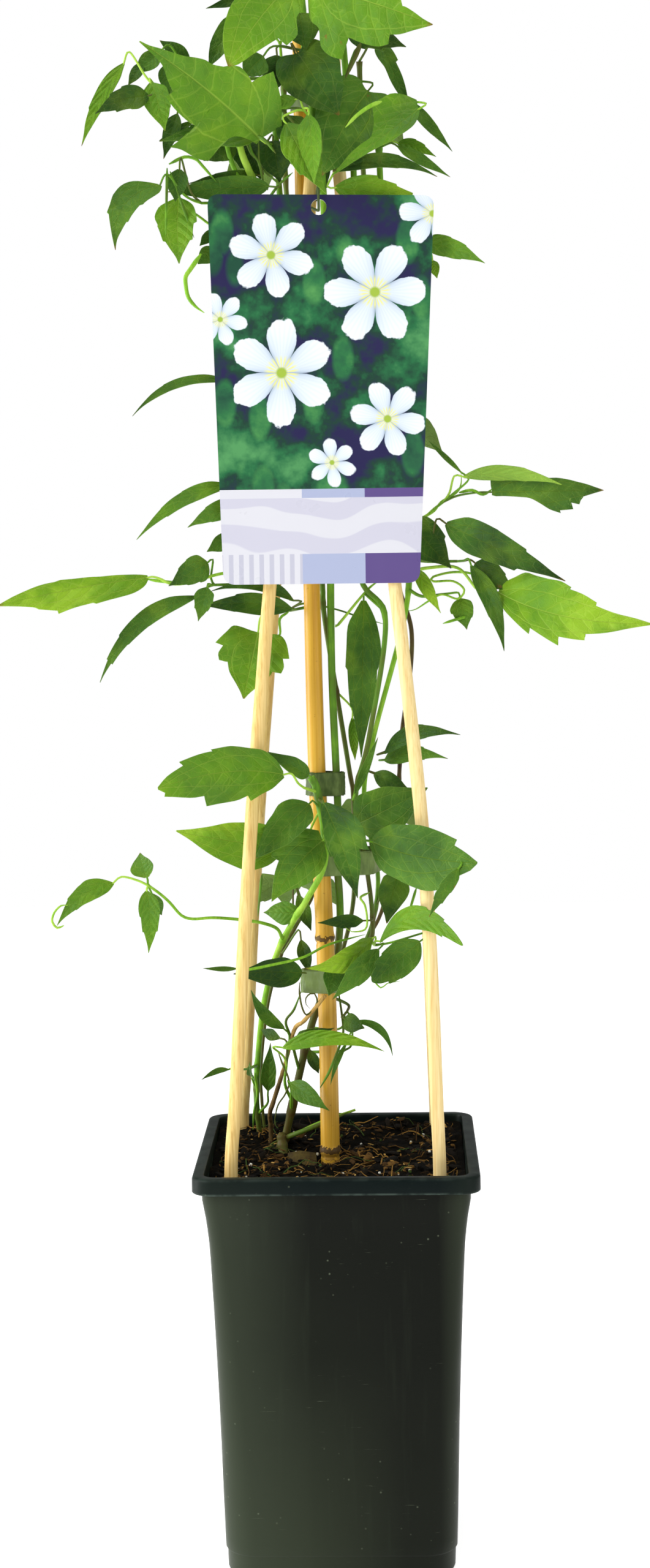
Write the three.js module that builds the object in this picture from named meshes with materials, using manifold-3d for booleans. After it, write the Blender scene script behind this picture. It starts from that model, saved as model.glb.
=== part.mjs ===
// A young clematis in a deep square nursery pot, trained up a cane and four split-bamboo stakes.
// Units are millimetres and +Z is up. The origin is the middle of the pot's underside, and -Y is
// the front. Every leaf grows on one of seven shoots, and each shoot is one solid with its leaves.
import * as THREE from 'three';
import { mergeVertices } from 'three/addons/utils/BufferGeometryUtils.js';
import Module from 'manifold-3d';

const wasm = await Module();
wasm.setup();

// ---- Driving dimensions ----------------------------------------------------------------------

const GAP = 0.3; // between solids that touch

const POT_HEIGHT = 190;
const POT_WALL = 1.2;
const POT_FLOOR = 2.2;
const RIM_HALF = 65; // half of the 130 mm rim
const RIM_SKIRT = 7.6; // depth of the turned-down rim
const RIM_EDGE = 1.2; // thickness of the turned-down rim
const RIM_BEVEL = 0.8;
const RIM_ROUNDING = 2; // how much larger the rim's corner radius is than the neck's
const NECK_FLARE = 0.4; // how far the wall widens under the rim
const MOUTH_FLARE = 0.2;
const FLOOR_DRAFT = 0.4;
const FOOT_STEP = 10; // height of the small step round the foot, which shows only outside
const DRAIN_OFFSET = 28;
const DRAIN_RADIUS = 4.5;
const DRAIN_SIDES = 10;
// The pot's outside below its rim: [height, half width, corner radius].
const POT_BODY = [
  [0, 51.6, 14], [1.2, 52.6, 15], [10, 52.9, 15], [11, 53.6, 15], [75, 55.1, 12.5], [150, 57.6, 7.5],
  [160, 58.2, 6.8], [178, 60.6, 6.8],
];

const SOIL_MIDDLE = 183;
const SOIL_RISE = 0.06; // towards the back
const SOIL_LOWEST = 177; // below every point of its surface
const SOIL_BUMP = 1.1;
const SOIL_WAVE = { x: 7.3, y: 6.1, shift: 1 };
const SOIL_CRUMB = { x: 3.9, y: 4.7, share: 0.6 };
const SOIL_FOOT_INSET = 1;
const SOIL_RINGS = [1, 0.85, 0.7, 0.55, 0.4, 0.25, 0.1]; // shares of the soil's half width

const POLE_SIDES = 8;
const STAKE_RADIUS = 3;
const STAKE_CENTRE_Y = 2;
// A stake's course: [height, distance of its axis from the middle, along X and along Y].
const STAKE_LEFT = [
  [120, 47.6], [186, 47.9], [220, 45.5], [287, 41], [353, 36], [455, 26.7], [520, 19.5], [580, 12.4],
  [630, 7], [668, 4.7], [692, 4.6],
];
const STAKE_RIGHT = [
  [120, 47.2], [185, 46.9], [220, 45.8], [287, 43.7], [353, 39.8], [452, 29.6], [520, 21], [580, 13],
  [630, 7.2], [668, 4.7], [694, 4.6],
];

const CANE_RADII = [4.5, 3.2]; // at the soil and at the top
const CANE_NODE_SWELL = 0.5;
const CANE_NODE_HALF = 3; // half the height of the ring at a node
const CANE_COURSE = [
  [-4, 4, 60], [-3.9, 4, 176], [-4.6, 3.3, 270], [-7.7, 3, 369], [-8.8, 3, 451], [-10, 3, 560],
  [-10.9, 3, 702],
];
const CANE_NODES = [186, 288, 505, 650]; // heights

// The stub of a dead stem, cut off under the lowest tape.
const DEAD_STEM_COURSE = [
  [-34, 30, 150], [-33, 27, 189], [-33, 19, 200], [-31, 14, 207], [-25, 9, 226], [-20, 4, 244],
  [-15, -4.5, 250], [-5, -6, 262],
];
const DEAD_STEM_RADII = [1.2, 0.9];

const TAPE_WIDTH = 11;
const TAPE_THICKNESS = 0.8;
const TAPE_SLACK = 0.5;
const TAPE_DIRECTIONS = 16;
// What each tape is pulled round, as [x, y, radius].
const TAPES = [
  { name: 'tape_low', middle: 267.5, posts: [[-4.6, 3.3, 4.5], [-3, 12.2, 4.3], [-14, 2, 1.5]] },
  {
    name: 'tape_middle',
    middle: 323,
    posts: [[-6.3, 3.1, 4.3], [8.6, 13.6, 2.4], [18.9, 16.4, 2.5], [15.5, 3.5, 2.2]],
  },
  { name: 'tape_high', middle: 360.5, posts: [[-7.5, 3, 4.2], [1.7, 2, 2.5]] },
  {
    name: 'tape_top',
    middle: 672,
    posts: [[-10.8, 3, 3.4], [-4.7, -2.7, 3.1], [4.7, -2.7, 3.1], [4.7, 6.7, 3.1], [-4.7, 6.7, 3.1]],
  },
];

const LABEL_THICKNESS = 0.6;
const LABEL_FOOT = new THREE.Vector3(0, -32, 454);
const LABEL_LEAN = THREE.MathUtils.degToRad(-2.3);
const LABEL_CORNER = 5.5;
const LABEL_CORNERS = [[-47.3, 0.2], [40.6, 0], [48.8, 171.2], [-52, 173.3]];
const LABEL_CURVE_STEPS = 10; // sides of each rounded corner, and of half the hole
const LABEL_HOLE = { x: -2.5, height: 166.8, radius: 3.5 };
// The tie's round, through the label's hole and behind the front left stake.
const LABEL_TIE_COURSE = [
  [-2.5, -27.2, 620], [-2.5, -28.2, 623], [-2.5, -27.5, 628.5], [-2.9, -24, 629.5], [-3.6, -12, 628],
  [-3.2, -5, 627], [-5, -1, 626.5], [-8.7, -1.3, 626], [-12, -4.5, 625], [-11, -9.5, 624], [-7, -16, 622],
  [-3, -23.6, 619.5],
];
const LABEL_TIE_RADIUS = 0.6;
const LABEL_TIE_SIDES = 5;

const BLADE_THICKNESS = 0.7;
const BLADE_FOLD = THREE.MathUtils.degToRad(13); // how far each half of a blade lifts
const BLADE_WAVE = 0.05; // ripple of a blade's edge, as a share of its width
const BLADE_RIPPLES = 7; // radians of ripple from foot to tip
const STALK_RADIUS = 0.75;
const STALK_SPREAD = 1.2; // how much thicker a stalk is where it leaves its shoot
const STALK_SIDES = 4;
const STALKLET_HALF = 0.55; // half of a stalklet's width
const SHOOT_SIDES = 6;
const SLIVER = 0.05; // how far a join may move a surface to drop the slivers that it leaves

// ---- Materials -------------------------------------------------------------------------------

const paint = (color, roughness) => new THREE.MeshStandardMaterial({ color, roughness, metalness: 0 });
const MATERIALS = {
  pot: paint(0x232d29, 0.5),
  soil: paint(0x2a2019, 0.95),
  stake: paint(0xe8d6a4, 0.7),
  cane: paint(0xcd9c3c, 0.45),
  tape: paint(0x5d6b4c, 0.5),
  label: paint(0x3f7a4a, 0.35),
  twig: paint(0xa9814d, 0.8),
  leaf: paint(0x4f8a24, 0.5),
};

// ---- Solids ----------------------------------------------------------------------------------

const vector = ([x, y, z]) => new THREE.Vector3(x, y, z);

function closedMesh(points, triangles) {
  const geometry = new THREE.BufferGeometry();
  const places = points.flatMap((p) => p.toArray());
  geometry.setAttribute('position', new THREE.Float32BufferAttribute(places, 3));
  geometry.setIndex(triangles.flat());
  return geometry;
}

// Skins a stack of rings that all have the same number of points, and closes both ends.
function skin(rings, joinEnds = false) {
  const count = rings[0].length;
  const points = rings.flat();
  const triangles = [];
  const bands = joinEnds ? rings.length : rings.length - 1;
  for (let band = 0; band < bands; band += 1) {
    const low = band * count;
    const high = ((band + 1) % rings.length) * count;
    for (let i = 0; i < count; i += 1) {
      const next = (i + 1) % count;
      triangles.push([low + i, low + next, high + next], [low + i, high + next, high + i]);
    }
  }
  if (!joinEnds) {
    const last = (rings.length - 1) * count;
    const middle = (ring) => ring.reduce((sum, p) => sum.add(p), new THREE.Vector3()).divideScalar(count);
    const foot = points.push(middle(rings[0])) - 1;
    const head = points.push(middle(rings[rings.length - 1])) - 1;
    for (let i = 0; i < count; i += 1) {
      const next = (i + 1) % count;
      triangles.push([foot, next, i], [head, last + i, last + next]);
    }
  }
  return closedMesh(points, triangles);
}

// A level square with rounded corners, as a ring of points.
function squareRing(half, corner, height) {
  const cornerSteps = 3;
  const ring = [];
  for (let quarter = 0; quarter < 4; quarter += 1) {
    const diagonal = (quarter + 0.5) * Math.PI / 2;
    const inset = (half - corner) * Math.SQRT2;
    for (let step = 0; step <= cornerSteps; step += 1) {
      const angle = (quarter + step / cornerSteps) * Math.PI / 2;
      ring.push(new THREE.Vector3(
        inset * Math.cos(diagonal) + corner * Math.cos(angle),
        inset * Math.sin(diagonal) + corner * Math.sin(angle),
        height,
      ));
    }
  }
  return ring;
}

// A tube through the given points, with a radius for each of them. Its rings don't turn about the
// path, except in a closed tube, where they turn evenly so that the last one meets the first.
function tube(path, radii, sides, joinEnds = false) {
  const count = path.length;
  const directions = path.map((point, i) => {
    const before = joinEnds ? path[(i + count - 1) % count] : path[Math.max(i - 1, 0)];
    const after = joinEnds ? path[(i + 1) % count] : path[Math.min(i + 1, count - 1)];
    return after.clone().sub(before).normalize();
  });
  const across = new THREE.Vector3(0, 1, 0).cross(directions[0]);
  if (across.length() < 0.1) across.set(1, 0, 0);
  across.normalize();
  const bend = (from, to) => across.applyQuaternion(
    new THREE.Quaternion().setFromUnitVectors(directions[from], directions[to]),
  ).clone();
  const starts = [across.clone()];
  for (let i = 1; i < count; i += 1) starts.push(bend(i - 1, i));
  let twist = 0;
  if (joinEnds) {
    const end = bend(count - 1, 0);
    twist = Math.atan2(directions[0].dot(end.clone().cross(starts[0])), end.dot(starts[0]));
  }
  const rings = path.map((point, i) => Array.from({ length: sides }, (_, side) => starts[i].clone()
    .applyAxisAngle(directions[i], (side / sides) * 2 * Math.PI + (i / count) * twist)
    .multiplyScalar(radii[i])
    .add(point)));
  return skin(rings, joinEnds);
}

// Radii that run evenly from the first to the last along a path of that many points.
const taper = (count, first, last) => Array.from(
  { length: count },
  (_, i) => THREE.MathUtils.lerp(first, last, i / (count - 1)),
);

function toManifold(geometry) {
  const bare = geometry.clone();
  bare.deleteAttribute('normal');
  bare.deleteAttribute('uv');
  const merged = mergeVertices(bare, 1e-4);
  return new wasm.Manifold(new wasm.Mesh({
    numProp: 3,
    vertProperties: new Float32Array(merged.attributes.position.array),
    triVerts: new Uint32Array(merged.index.array),
  }));
}

function toGeometry(solid) {
  const { vertProperties, triVerts } = solid.getMesh();
  const geometry = new THREE.BufferGeometry();
  geometry.setAttribute('position', new THREE.BufferAttribute(new Float32Array(vertProperties), 3));
  geometry.setIndex(new THREE.BufferAttribute(new Uint32Array(triVerts), 1));
  return geometry;
}

// Joins solids in pairs, so that each join stays small, and drops the slivers between them.
function fuse(geometries) {
  let solids = geometries.map(toManifold);
  while (solids.length > 1) {
    const joined = [];
    for (let i = 0; i < solids.length; i += 2) {
      joined.push(i + 1 < solids.length ? solids[i].add(solids[i + 1]) : solids[i]);
    }
    solids = joined;
  }
  return solids[0].asOriginal().simplify(SLIVER);
}

const cut = (geometry, tools) => toGeometry(toManifold(geometry).subtract(fuse(tools)));

// The point of an upward path at a given height.
function alongHeight(path, z) {
  const above = Math.max(1, path.findIndex((p, i) => i > 0 && p.z >= z));
  const share = THREE.MathUtils.clamp((z - path[above - 1].z) / (path[above].z - path[above - 1].z), 0, 1);
  return path[above - 1].clone().lerp(path[above], share);
}

// ---- Pot and soil ----------------------------------------------------------------------------

function potGeometry() {
  const underRim = POT_HEIGHT - POT_WALL;
  const skirtFoot = POT_HEIGHT - RIM_SKIRT;
  const [, neckHalf, neckCorner] = POT_BODY[POT_BODY.length - 1];
  const rimCorner = neckCorner + RIM_ROUNDING;
  const outside = POT_BODY.map(([z, half, corner]) => squareRing(half, corner, z));
  const rim = [
    squareRing(neckHalf + NECK_FLARE, neckCorner, underRim),
    squareRing(RIM_HALF - RIM_EDGE, rimCorner, underRim),
    squareRing(RIM_HALF - RIM_EDGE, rimCorner, skirtFoot),
    squareRing(RIM_HALF, rimCorner + RIM_EDGE / 2, skirtFoot),
    squareRing(RIM_HALF, rimCorner + RIM_EDGE / 2, POT_HEIGHT - RIM_BEVEL),
    squareRing(RIM_HALF - RIM_BEVEL, rimCorner, POT_HEIGHT),
    squareRing(neckHalf + MOUTH_FLARE - POT_WALL, neckCorner - POT_WALL, POT_HEIGHT),
  ];
  const inside = POT_BODY.filter(([z]) => z > POT_FLOOR && z !== FOOT_STEP).reverse()
    .map(([z, half, corner]) => squareRing(half - POT_WALL, corner - POT_WALL, z));
  const [, footHalf, footCorner] = POT_BODY[1];
  inside.push(squareRing(footHalf - POT_WALL - FLOOR_DRAFT, footCorner - POT_WALL, POT_FLOOR));
  const drain = new THREE.CylinderGeometry(DRAIN_RADIUS, DRAIN_RADIUS, 4 * POT_FLOOR, DRAIN_SIDES)
    .rotateX(Math.PI / 2);
  const drains = [-1, 1].flatMap((sx) => [-1, 1].map(
    (sy) => drain.clone().translate(sx * DRAIN_OFFSET, sy * DRAIN_OFFSET, POT_FLOOR / 2),
  ));
  return cut(skin([...outside, ...rim, ...inside]), drains);
}

function soilHeight(x, y) {
  const wave = Math.sin(x / SOIL_WAVE.x + SOIL_WAVE.shift) * Math.cos(y / SOIL_WAVE.y);
  const crumb = SOIL_CRUMB.share * Math.sin(x / SOIL_CRUMB.x - y / SOIL_CRUMB.y);
  return SOIL_MIDDLE + SOIL_RISE * y + SOIL_BUMP * (wave + crumb);
}

// The soil fills the pot, with a plain hole for whatever stands in it.
function soilGeometry(holes) {
  const walls = POT_BODY.filter(([z]) => z > FOOT_STEP && z < SOIL_LOWEST)
    .map(([z, half, corner]) => squareRing(half - POT_WALL - GAP, corner - POT_WALL, z));
  const [, footHalf, footCorner] = POT_BODY[1];
  const foot = squareRing(
    footHalf - POT_WALL - GAP - SOIL_FOOT_INSET, footCorner - POT_WALL, POT_FLOOR + GAP,
  );
  const [, topHalf, topCorner] = POT_BODY[POT_BODY.length - 1];
  const top = SOIL_RINGS.map((share) => squareRing(
    (topHalf - POT_WALL - GAP) * share, (topCorner - POT_WALL) * share, 0,
  ).map((p) => p.setZ(soilHeight(p.x, p.y))));
  return cut(skin([foot, ...walls, ...top]), holes);
}

// ---- Stakes, cane, tapes and label -----------------------------------------------------------

const stakePath = (course, sideX, sideY) => course.map(([z, reach]) => new THREE.Vector3(
  sideX * reach, STAKE_CENTRE_Y + sideY * reach, z,
));

// The cane has three rings more at each node, which swell it there.
const CANE_BARE = CANE_COURSE.map(vector);
const CANE_PATH = [...CANE_BARE, ...CANE_NODES.flatMap((z) => [-CANE_NODE_HALF, 0, CANE_NODE_HALF].map(
  (step) => alongHeight(CANE_BARE, z + step),
))].sort((a, b) => a.z - b.z);

function caneRadii() {
  const top = CANE_PATH[CANE_PATH.length - 1].z;
  return CANE_PATH.map(({ z }) => {
    const share = Math.max(0, (z - CANE_NODES[0]) / (top - CANE_NODES[0]));
    const swell = CANE_NODES.includes(z) ? CANE_NODE_SWELL : 0;
    return THREE.MathUtils.lerp(...CANE_RADII, share) + swell;
  });
}

const DEAD_STEM = DEAD_STEM_COURSE.map(vector);
const LABEL_TIE = LABEL_TIE_COURSE.map(vector);

// A tape pulled round some posts: its outline is the hull of circles round them.
function tapeGeometry(posts, middle) {
  const outline = (extra) => Array.from({ length: TAPE_DIRECTIONS }, (_, i) => {
    const angle = (i / TAPE_DIRECTIONS) * 2 * Math.PI;
    const way = new THREE.Vector2(Math.cos(angle), Math.sin(angle));
    const reach = ([x, y, radius]) => x * way.x + y * way.y + radius;
    const [x, y, radius] = posts.reduce((best, post) => (reach(post) > reach(best) ? post : best));
    return new THREE.Vector2(x, y).addScaledVector(way, radius + extra);
  });
  const shape = new THREE.Shape(outline(TAPE_SLACK + TAPE_THICKNESS));
  shape.holes.push(new THREE.Path(outline(TAPE_SLACK)));
  return new THREE.ExtrudeGeometry(shape, { depth: TAPE_WIDTH, bevelEnabled: false })
    .translate(0, 0, middle - TAPE_WIDTH / 2);
}

// A card with rounded corners that narrows downwards, with a hole near its top edge.
function labelGeometry() {
  const corners = LABEL_CORNERS.map(([x, y]) => new THREE.Vector2(x, y));
  const shape = new THREE.Shape();
  corners.forEach((corner, i) => {
    const before = corners[(i + 3) % 4].clone().sub(corner).setLength(LABEL_CORNER).add(corner);
    const after = corners[(i + 1) % 4].clone().sub(corner).setLength(LABEL_CORNER).add(corner);
    if (i === 0) shape.moveTo(before.x, before.y);
    else shape.lineTo(before.x, before.y);
    shape.quadraticCurveTo(corner.x, corner.y, after.x, after.y);
  });
  shape.closePath();
  const hole = new THREE.Path();
  hole.absarc(LABEL_HOLE.x, LABEL_HOLE.height, LABEL_HOLE.radius, 0, 2 * Math.PI, true);
  shape.holes.push(hole);
  const options = { depth: LABEL_THICKNESS, bevelEnabled: false, curveSegments: LABEL_CURVE_STEPS };
  return new THREE.ExtrudeGeometry(shape, options)
    .rotateX(Math.PI / 2 + LABEL_LEAN)
    .translate(...LABEL_FOOT.toArray());
}

// ---- Leaves ----------------------------------------------------------------------------------

// Half outlines of a leaflet, from foot to tip: [place of the rib point along the midrib, place of
// the edge point, the edge point's distance as a share of the half width].
const SMALL = [[0, 0, 0.2], [0.4, 0.4, 1], [1, 1, 0]];
const PLAIN = [[0, 0, 0.14], [0.18, 0.18, 0.85], [0.42, 0.42, 1], [0.72, 0.72, 0.62], [1, 1, 0]];
const TOOTHED = [
  [0, 0, 0.14], [0.14, 0.14, 0.82], [0.3, 0.36, 1], [0.42, 0.63, 0.88], [0.64, 0.58, 0.58], [1, 1, 0],
];
const CUT = [
  [0, 0, 0.14], [0.1, 0.12, 0.72], [0.2, 0.28, 0.97], [0.3, 0.5, 1], [0.46, 0.47, 0.76],
  [0.56, 0.72, 0.74], [0.7, 0.67, 0.46], [1, 1, 0],
];
const HEART = [
  [0, 0, 0.16], [0.08, -0.04, 0.7], [0.25, 0.2, 1], [0.5, 0.5, 0.86], [0.76, 0.76, 0.46], [1, 1, 0],
];
const LOBED = [
  [0, 0, 0.16], [0.08, -0.02, 0.66], [0.2, 0.22, 0.96], [0.32, 0.46, 1], [0.48, 0.42, 0.62],
  [0.56, 0.6, 0.6], [0.7, 0.66, 0.42], [1, 1, 0],
];

// A direction turned the least that makes it square to another one.
const squared = (direction, to) => direction.clone().projectOnPlane(to).normalize();

const END_ON = 0.98; // from this share along Y, a midrib points at the front
const LEVEL = 0.05; // below this share along Z, a direction has no upward end

// The directions of a leaflet: along its midrib, to its right and out of its face. A roll of 0
// turns the face to the front, and 90 turns it up.
function leafletFrame(foot, tip, roll) {
  const ahead = tip.clone().sub(foot).normalize();
  const front = new THREE.Vector3(0, -1, 0);
  const facing = squared(Math.abs(ahead.y) < END_ON ? front : new THREE.Vector3(0, 0, 1), ahead);
  const upward = ahead.clone().cross(facing);
  if (upward.z < -LEVEL || (upward.z < LEVEL && upward.x < 0)) upward.negate();
  const turn = THREE.MathUtils.degToRad(roll);
  const normal = facing.multiplyScalar(Math.cos(turn)).addScaledVector(upward, Math.sin(turn));
  return { ahead, normal, side: ahead.clone().cross(normal) };
}

// Where a leaflet's surface lies at a place along its midrib and across it, from -1 to 1. Arch
// lifts the middle of the midrib, and sweep bends it to the right.
function leafletPoint({ foot, tip, width, arch, sweep, normal, side }, along, across) {
  const bow = foot.distanceTo(tip) * 4 * along * (1 - along);
  const reach = across * width / 2;
  const ripple = BLADE_WAVE * width * Math.abs(across)
    * Math.sin(BLADE_RIPPLES * along + Math.sign(across));
  return foot.clone().lerp(tip, along)
    .addScaledVector(side, sweep * bow + reach * Math.cos(BLADE_FOLD))
    .addScaledVector(normal, arch * bow + Math.abs(reach) * Math.sin(BLADE_FOLD) + ripple);
}

// A leaflet with its stalklet as one sheet of even thickness. Each row holds a left, a rib and a
// right point, and the way its two faces lie apart. The first row starts the stalklet, the second
// is mitred between the stalklet and the blade, and the tip is one point.
function leafletGeometry(start, leaf) {
  const { foot, outline, ahead, normal, side } = leaf;
  const reachIn = foot.clone().sub(start).normalize();
  const mitre = reachIn.clone().add(ahead).normalize();
  const footSide = squared(side, mitre);
  const startSide = squared(footSide, reachIn);
  const row = (middle, across, half, apart) => ({
    points: [-half, 0, half].map((reach) => middle.clone().addScaledVector(across, reach)), apart,
  });
  const footHalf = outline[0][2] * leaf.width / 2;
  const rows = [
    row(start, startSide, STALKLET_HALF, startSide.clone().cross(reachIn)),
    row(foot, footSide, footHalf, footSide.clone().cross(mitre).divideScalar(mitre.dot(ahead))),
    ...outline.slice(1, -1).map(([rib, edge, across]) => ({
      points: [[edge, -across], [rib, 0], [edge, across]].map((place) => leafletPoint(leaf, ...place)),
      apart: normal,
    })),
    { points: [leafletPoint(leaf, 1, 0)], apart: normal },
  ];
  const faces = [0.5, -0.5].map((share) => rows.flatMap(({ points, apart }) => points.map(
    (point) => point.clone().addScaledVector(apart, share * BLADE_THICKNESS),
  )));
  const sheet = [];
  for (let i = 0; i < rows.length - 2; i += 1) {
    const [left, rib, right] = [3 * i, 3 * i + 1, 3 * i + 2];
    const [leftAhead, ribAhead, rightAhead] = [left + 3, rib + 3, right + 3];
    // The shared edge runs so that neither a notch nor a heart-shaped foot folds over.
    if (i > 0 && outline[i][2] < outline[i - 1][2]) {
      sheet.push([left, rib, leftAhead], [rib, ribAhead, leftAhead]);
      sheet.push([rib, right, rightAhead], [rib, rightAhead, ribAhead]);
    } else {
      sheet.push([left, rib, ribAhead], [left, ribAhead, leftAhead]);
      sheet.push([rib, right, ribAhead], [right, rightAhead, ribAhead]);
    }
  }
  const end = 3 * (rows.length - 2);
  const tip = end + 3;
  sheet.push([end, end + 1, tip], [end + 1, end + 2, tip]);
  const lefts = rows.slice(0, -1).map((_, i) => 3 * i);
  const edge = [...lefts.toReversed(), 1, ...lefts.map((left) => left + 2), tip];
  const under = tip + 1;
  const walls = edge.flatMap((a, i) => {
    const b = edge[(i + 1) % edge.length];
    return [[a, a + under, b + under], [a, b + under, b]];
  });
  const underside = sheet.map(([a, b, c]) => [a + under, c + under, b + under]);
  return closedMesh(faces.flat(), [...sheet, ...underside, ...walls]);
}

// A leaf: its stalk from the shoot to the last of its points, and a leaflet on each stalklet.
function leafGeometries(shootPath, height, stalkPoints, leaflets) {
  const stalk = [alongHeight(shootPath, height), ...stalkPoints.map(vector)];
  const start = stalk[stalk.length - 1].clone();
  const parts = [];
  if (stalk.length > 1) {
    const radii = taper(stalk.length, STALK_RADIUS * STALK_SPREAD, STALK_RADIUS);
    parts.push(tube(stalk, radii, STALK_SIDES));
    start.add(stalk[stalk.length - 2].clone().sub(start).setLength(STALK_RADIUS));
  }
  leaflets.forEach(([foot, tip, width, outline, roll, arch, sweep]) => {
    const ends = { foot: vector(foot), tip: vector(tip) };
    const frame = leafletFrame(ends.foot, ends.tip, roll);
    parts.push(leafletGeometry(start, { ...ends, ...frame, width, outline, arch, sweep }));
  });
  return parts;
}

// ---- Shoots ----------------------------------------------------------------------------------

// Each shoot's course, from inside the soil to its tip.
const FRONT_LEFT = [
  [-39, 41, 150], [-39, 40, 182], [-40, 34, 202], [-39, 28, 222], [-35, 19, 253], [-28, 10, 279],
  [-19, 3, 297], [-13, -3, 307], [-4, -10, 327], [-7, -11, 357], [-10, -12, 365],
];
const MIDDLE = [
  [-29, 21, 150], [-27, 20, 180], [-21, 16, 209], [-12, 13, 245], [-4, 13, 264], [0, 11, 277],
  [2, 8, 293], [2, 5, 308], [1, 3, 326], [2, 2, 343], [0, 2, 409], [0, 2, 460], [1, 3, 482],
  [3, 2, 532], [2, -1, 557], [-1, -17, 635], [-4, -19, 659], [-7, -18, 683], [-10, -14, 721],
];
const LEFT = [
  [-27, 27, 150], [-27, 25, 179], [-21, 24, 207], [-12, 23, 243], [-3, 22, 262], [4, 17, 283],
  [8, 14, 301], [9, 13, 318], [9, 11, 353], [7, 10, 368], [-3, 10, 435],
  [-4, 11, 451], [-6, 13, 465], [-10, 15, 479], [-12, 15, 496], [-17, 8, 580], [-21, 0, 634],
  [-23, -8, 685],
];
const FRONT_RIGHT = [
  [-27, 34, 150], [-27, 31, 178], [-21, 30, 206], [-12, 29, 242], [-3, 26, 259], [5, 22, 269],
  [12, 16, 278], [17, 11, 287], [17, 6, 302], [15, 3, 320], [11, 2, 349], [11, 1, 360], [17, 0, 383],
  [25, 0, 436], [14, 3, 455], [12, 4, 490], [11, 1, 541], [12, 3, 590], [13, 0, 632],
  [12, -8, 658], [11, -10, 670], [8, -14, 707],
];
const RIGHT = [
  [-28, 40, 150], [-28, 38, 176], [-22, 37, 204], [-13, 35, 240], [-4, 33, 257], [3, 30, 265],
  [10, 26, 275], [17, 21, 291], [20, 18, 309], [19, 16, 324], [14, 13, 353], [19, 10, 382], [34, 5, 438],
  [36, 4, 468], [34, 4, 512], [27, 3, 587], [25, -2, 633], [24, -10, 667],
];
const BACK_RIGHT = [
  [-28, 49, 150], [-28, 48, 172], [-22, 46, 203], [-13, 45, 239], [-4, 44, 257], [3, 43, 265], [15, 40, 282],
  [23, 36, 300], [29, 27, 340], [32, 20, 381], [36, 15, 408], [37, 12, 431], [32, 12, 449],
  [30, 13, 462], [28, 15, 507], [23, 19, 564], [19, 21, 620], [17, 20, 645], [16, 12, 690],
];
const BACK_LEFT = [
  [-36, 51, 150], [-36, 49, 170], [-38, 45, 200], [-38, 42, 219], [-34, 38, 250], [-27, 36, 275],
  [-23, 36, 283], [-16, 34, 295], [-10, 31, 310], [-7, 22, 352], [-8, 19, 411], [-8, 20, 439],
  [-15, 28, 554], [-17, 30, 610], [-19, 29, 638], [-19, 26, 663], [-19, 20, 684],
];
const SHOOTS = [
  { name: 'shoot_front_left', course: FRONT_LEFT, radii: [1.4, 1.5] },
  { name: 'shoot_middle', course: MIDDLE, radii: [1.9, 1.6] },
  { name: 'shoot_left', course: LEFT, radii: [1.2, 1.4] },
  { name: 'shoot_front_right', course: FRONT_RIGHT, radii: [1.2, 1.5] },
  { name: 'shoot_right', course: RIGHT, radii: [1.2, 1.4] },
  { name: 'shoot_back_right', course: BACK_RIGHT, radii: [1.1, 1.2] },
  { name: 'shoot_back_left', course: BACK_LEFT, radii: [1.1, 1.2] },
];

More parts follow.
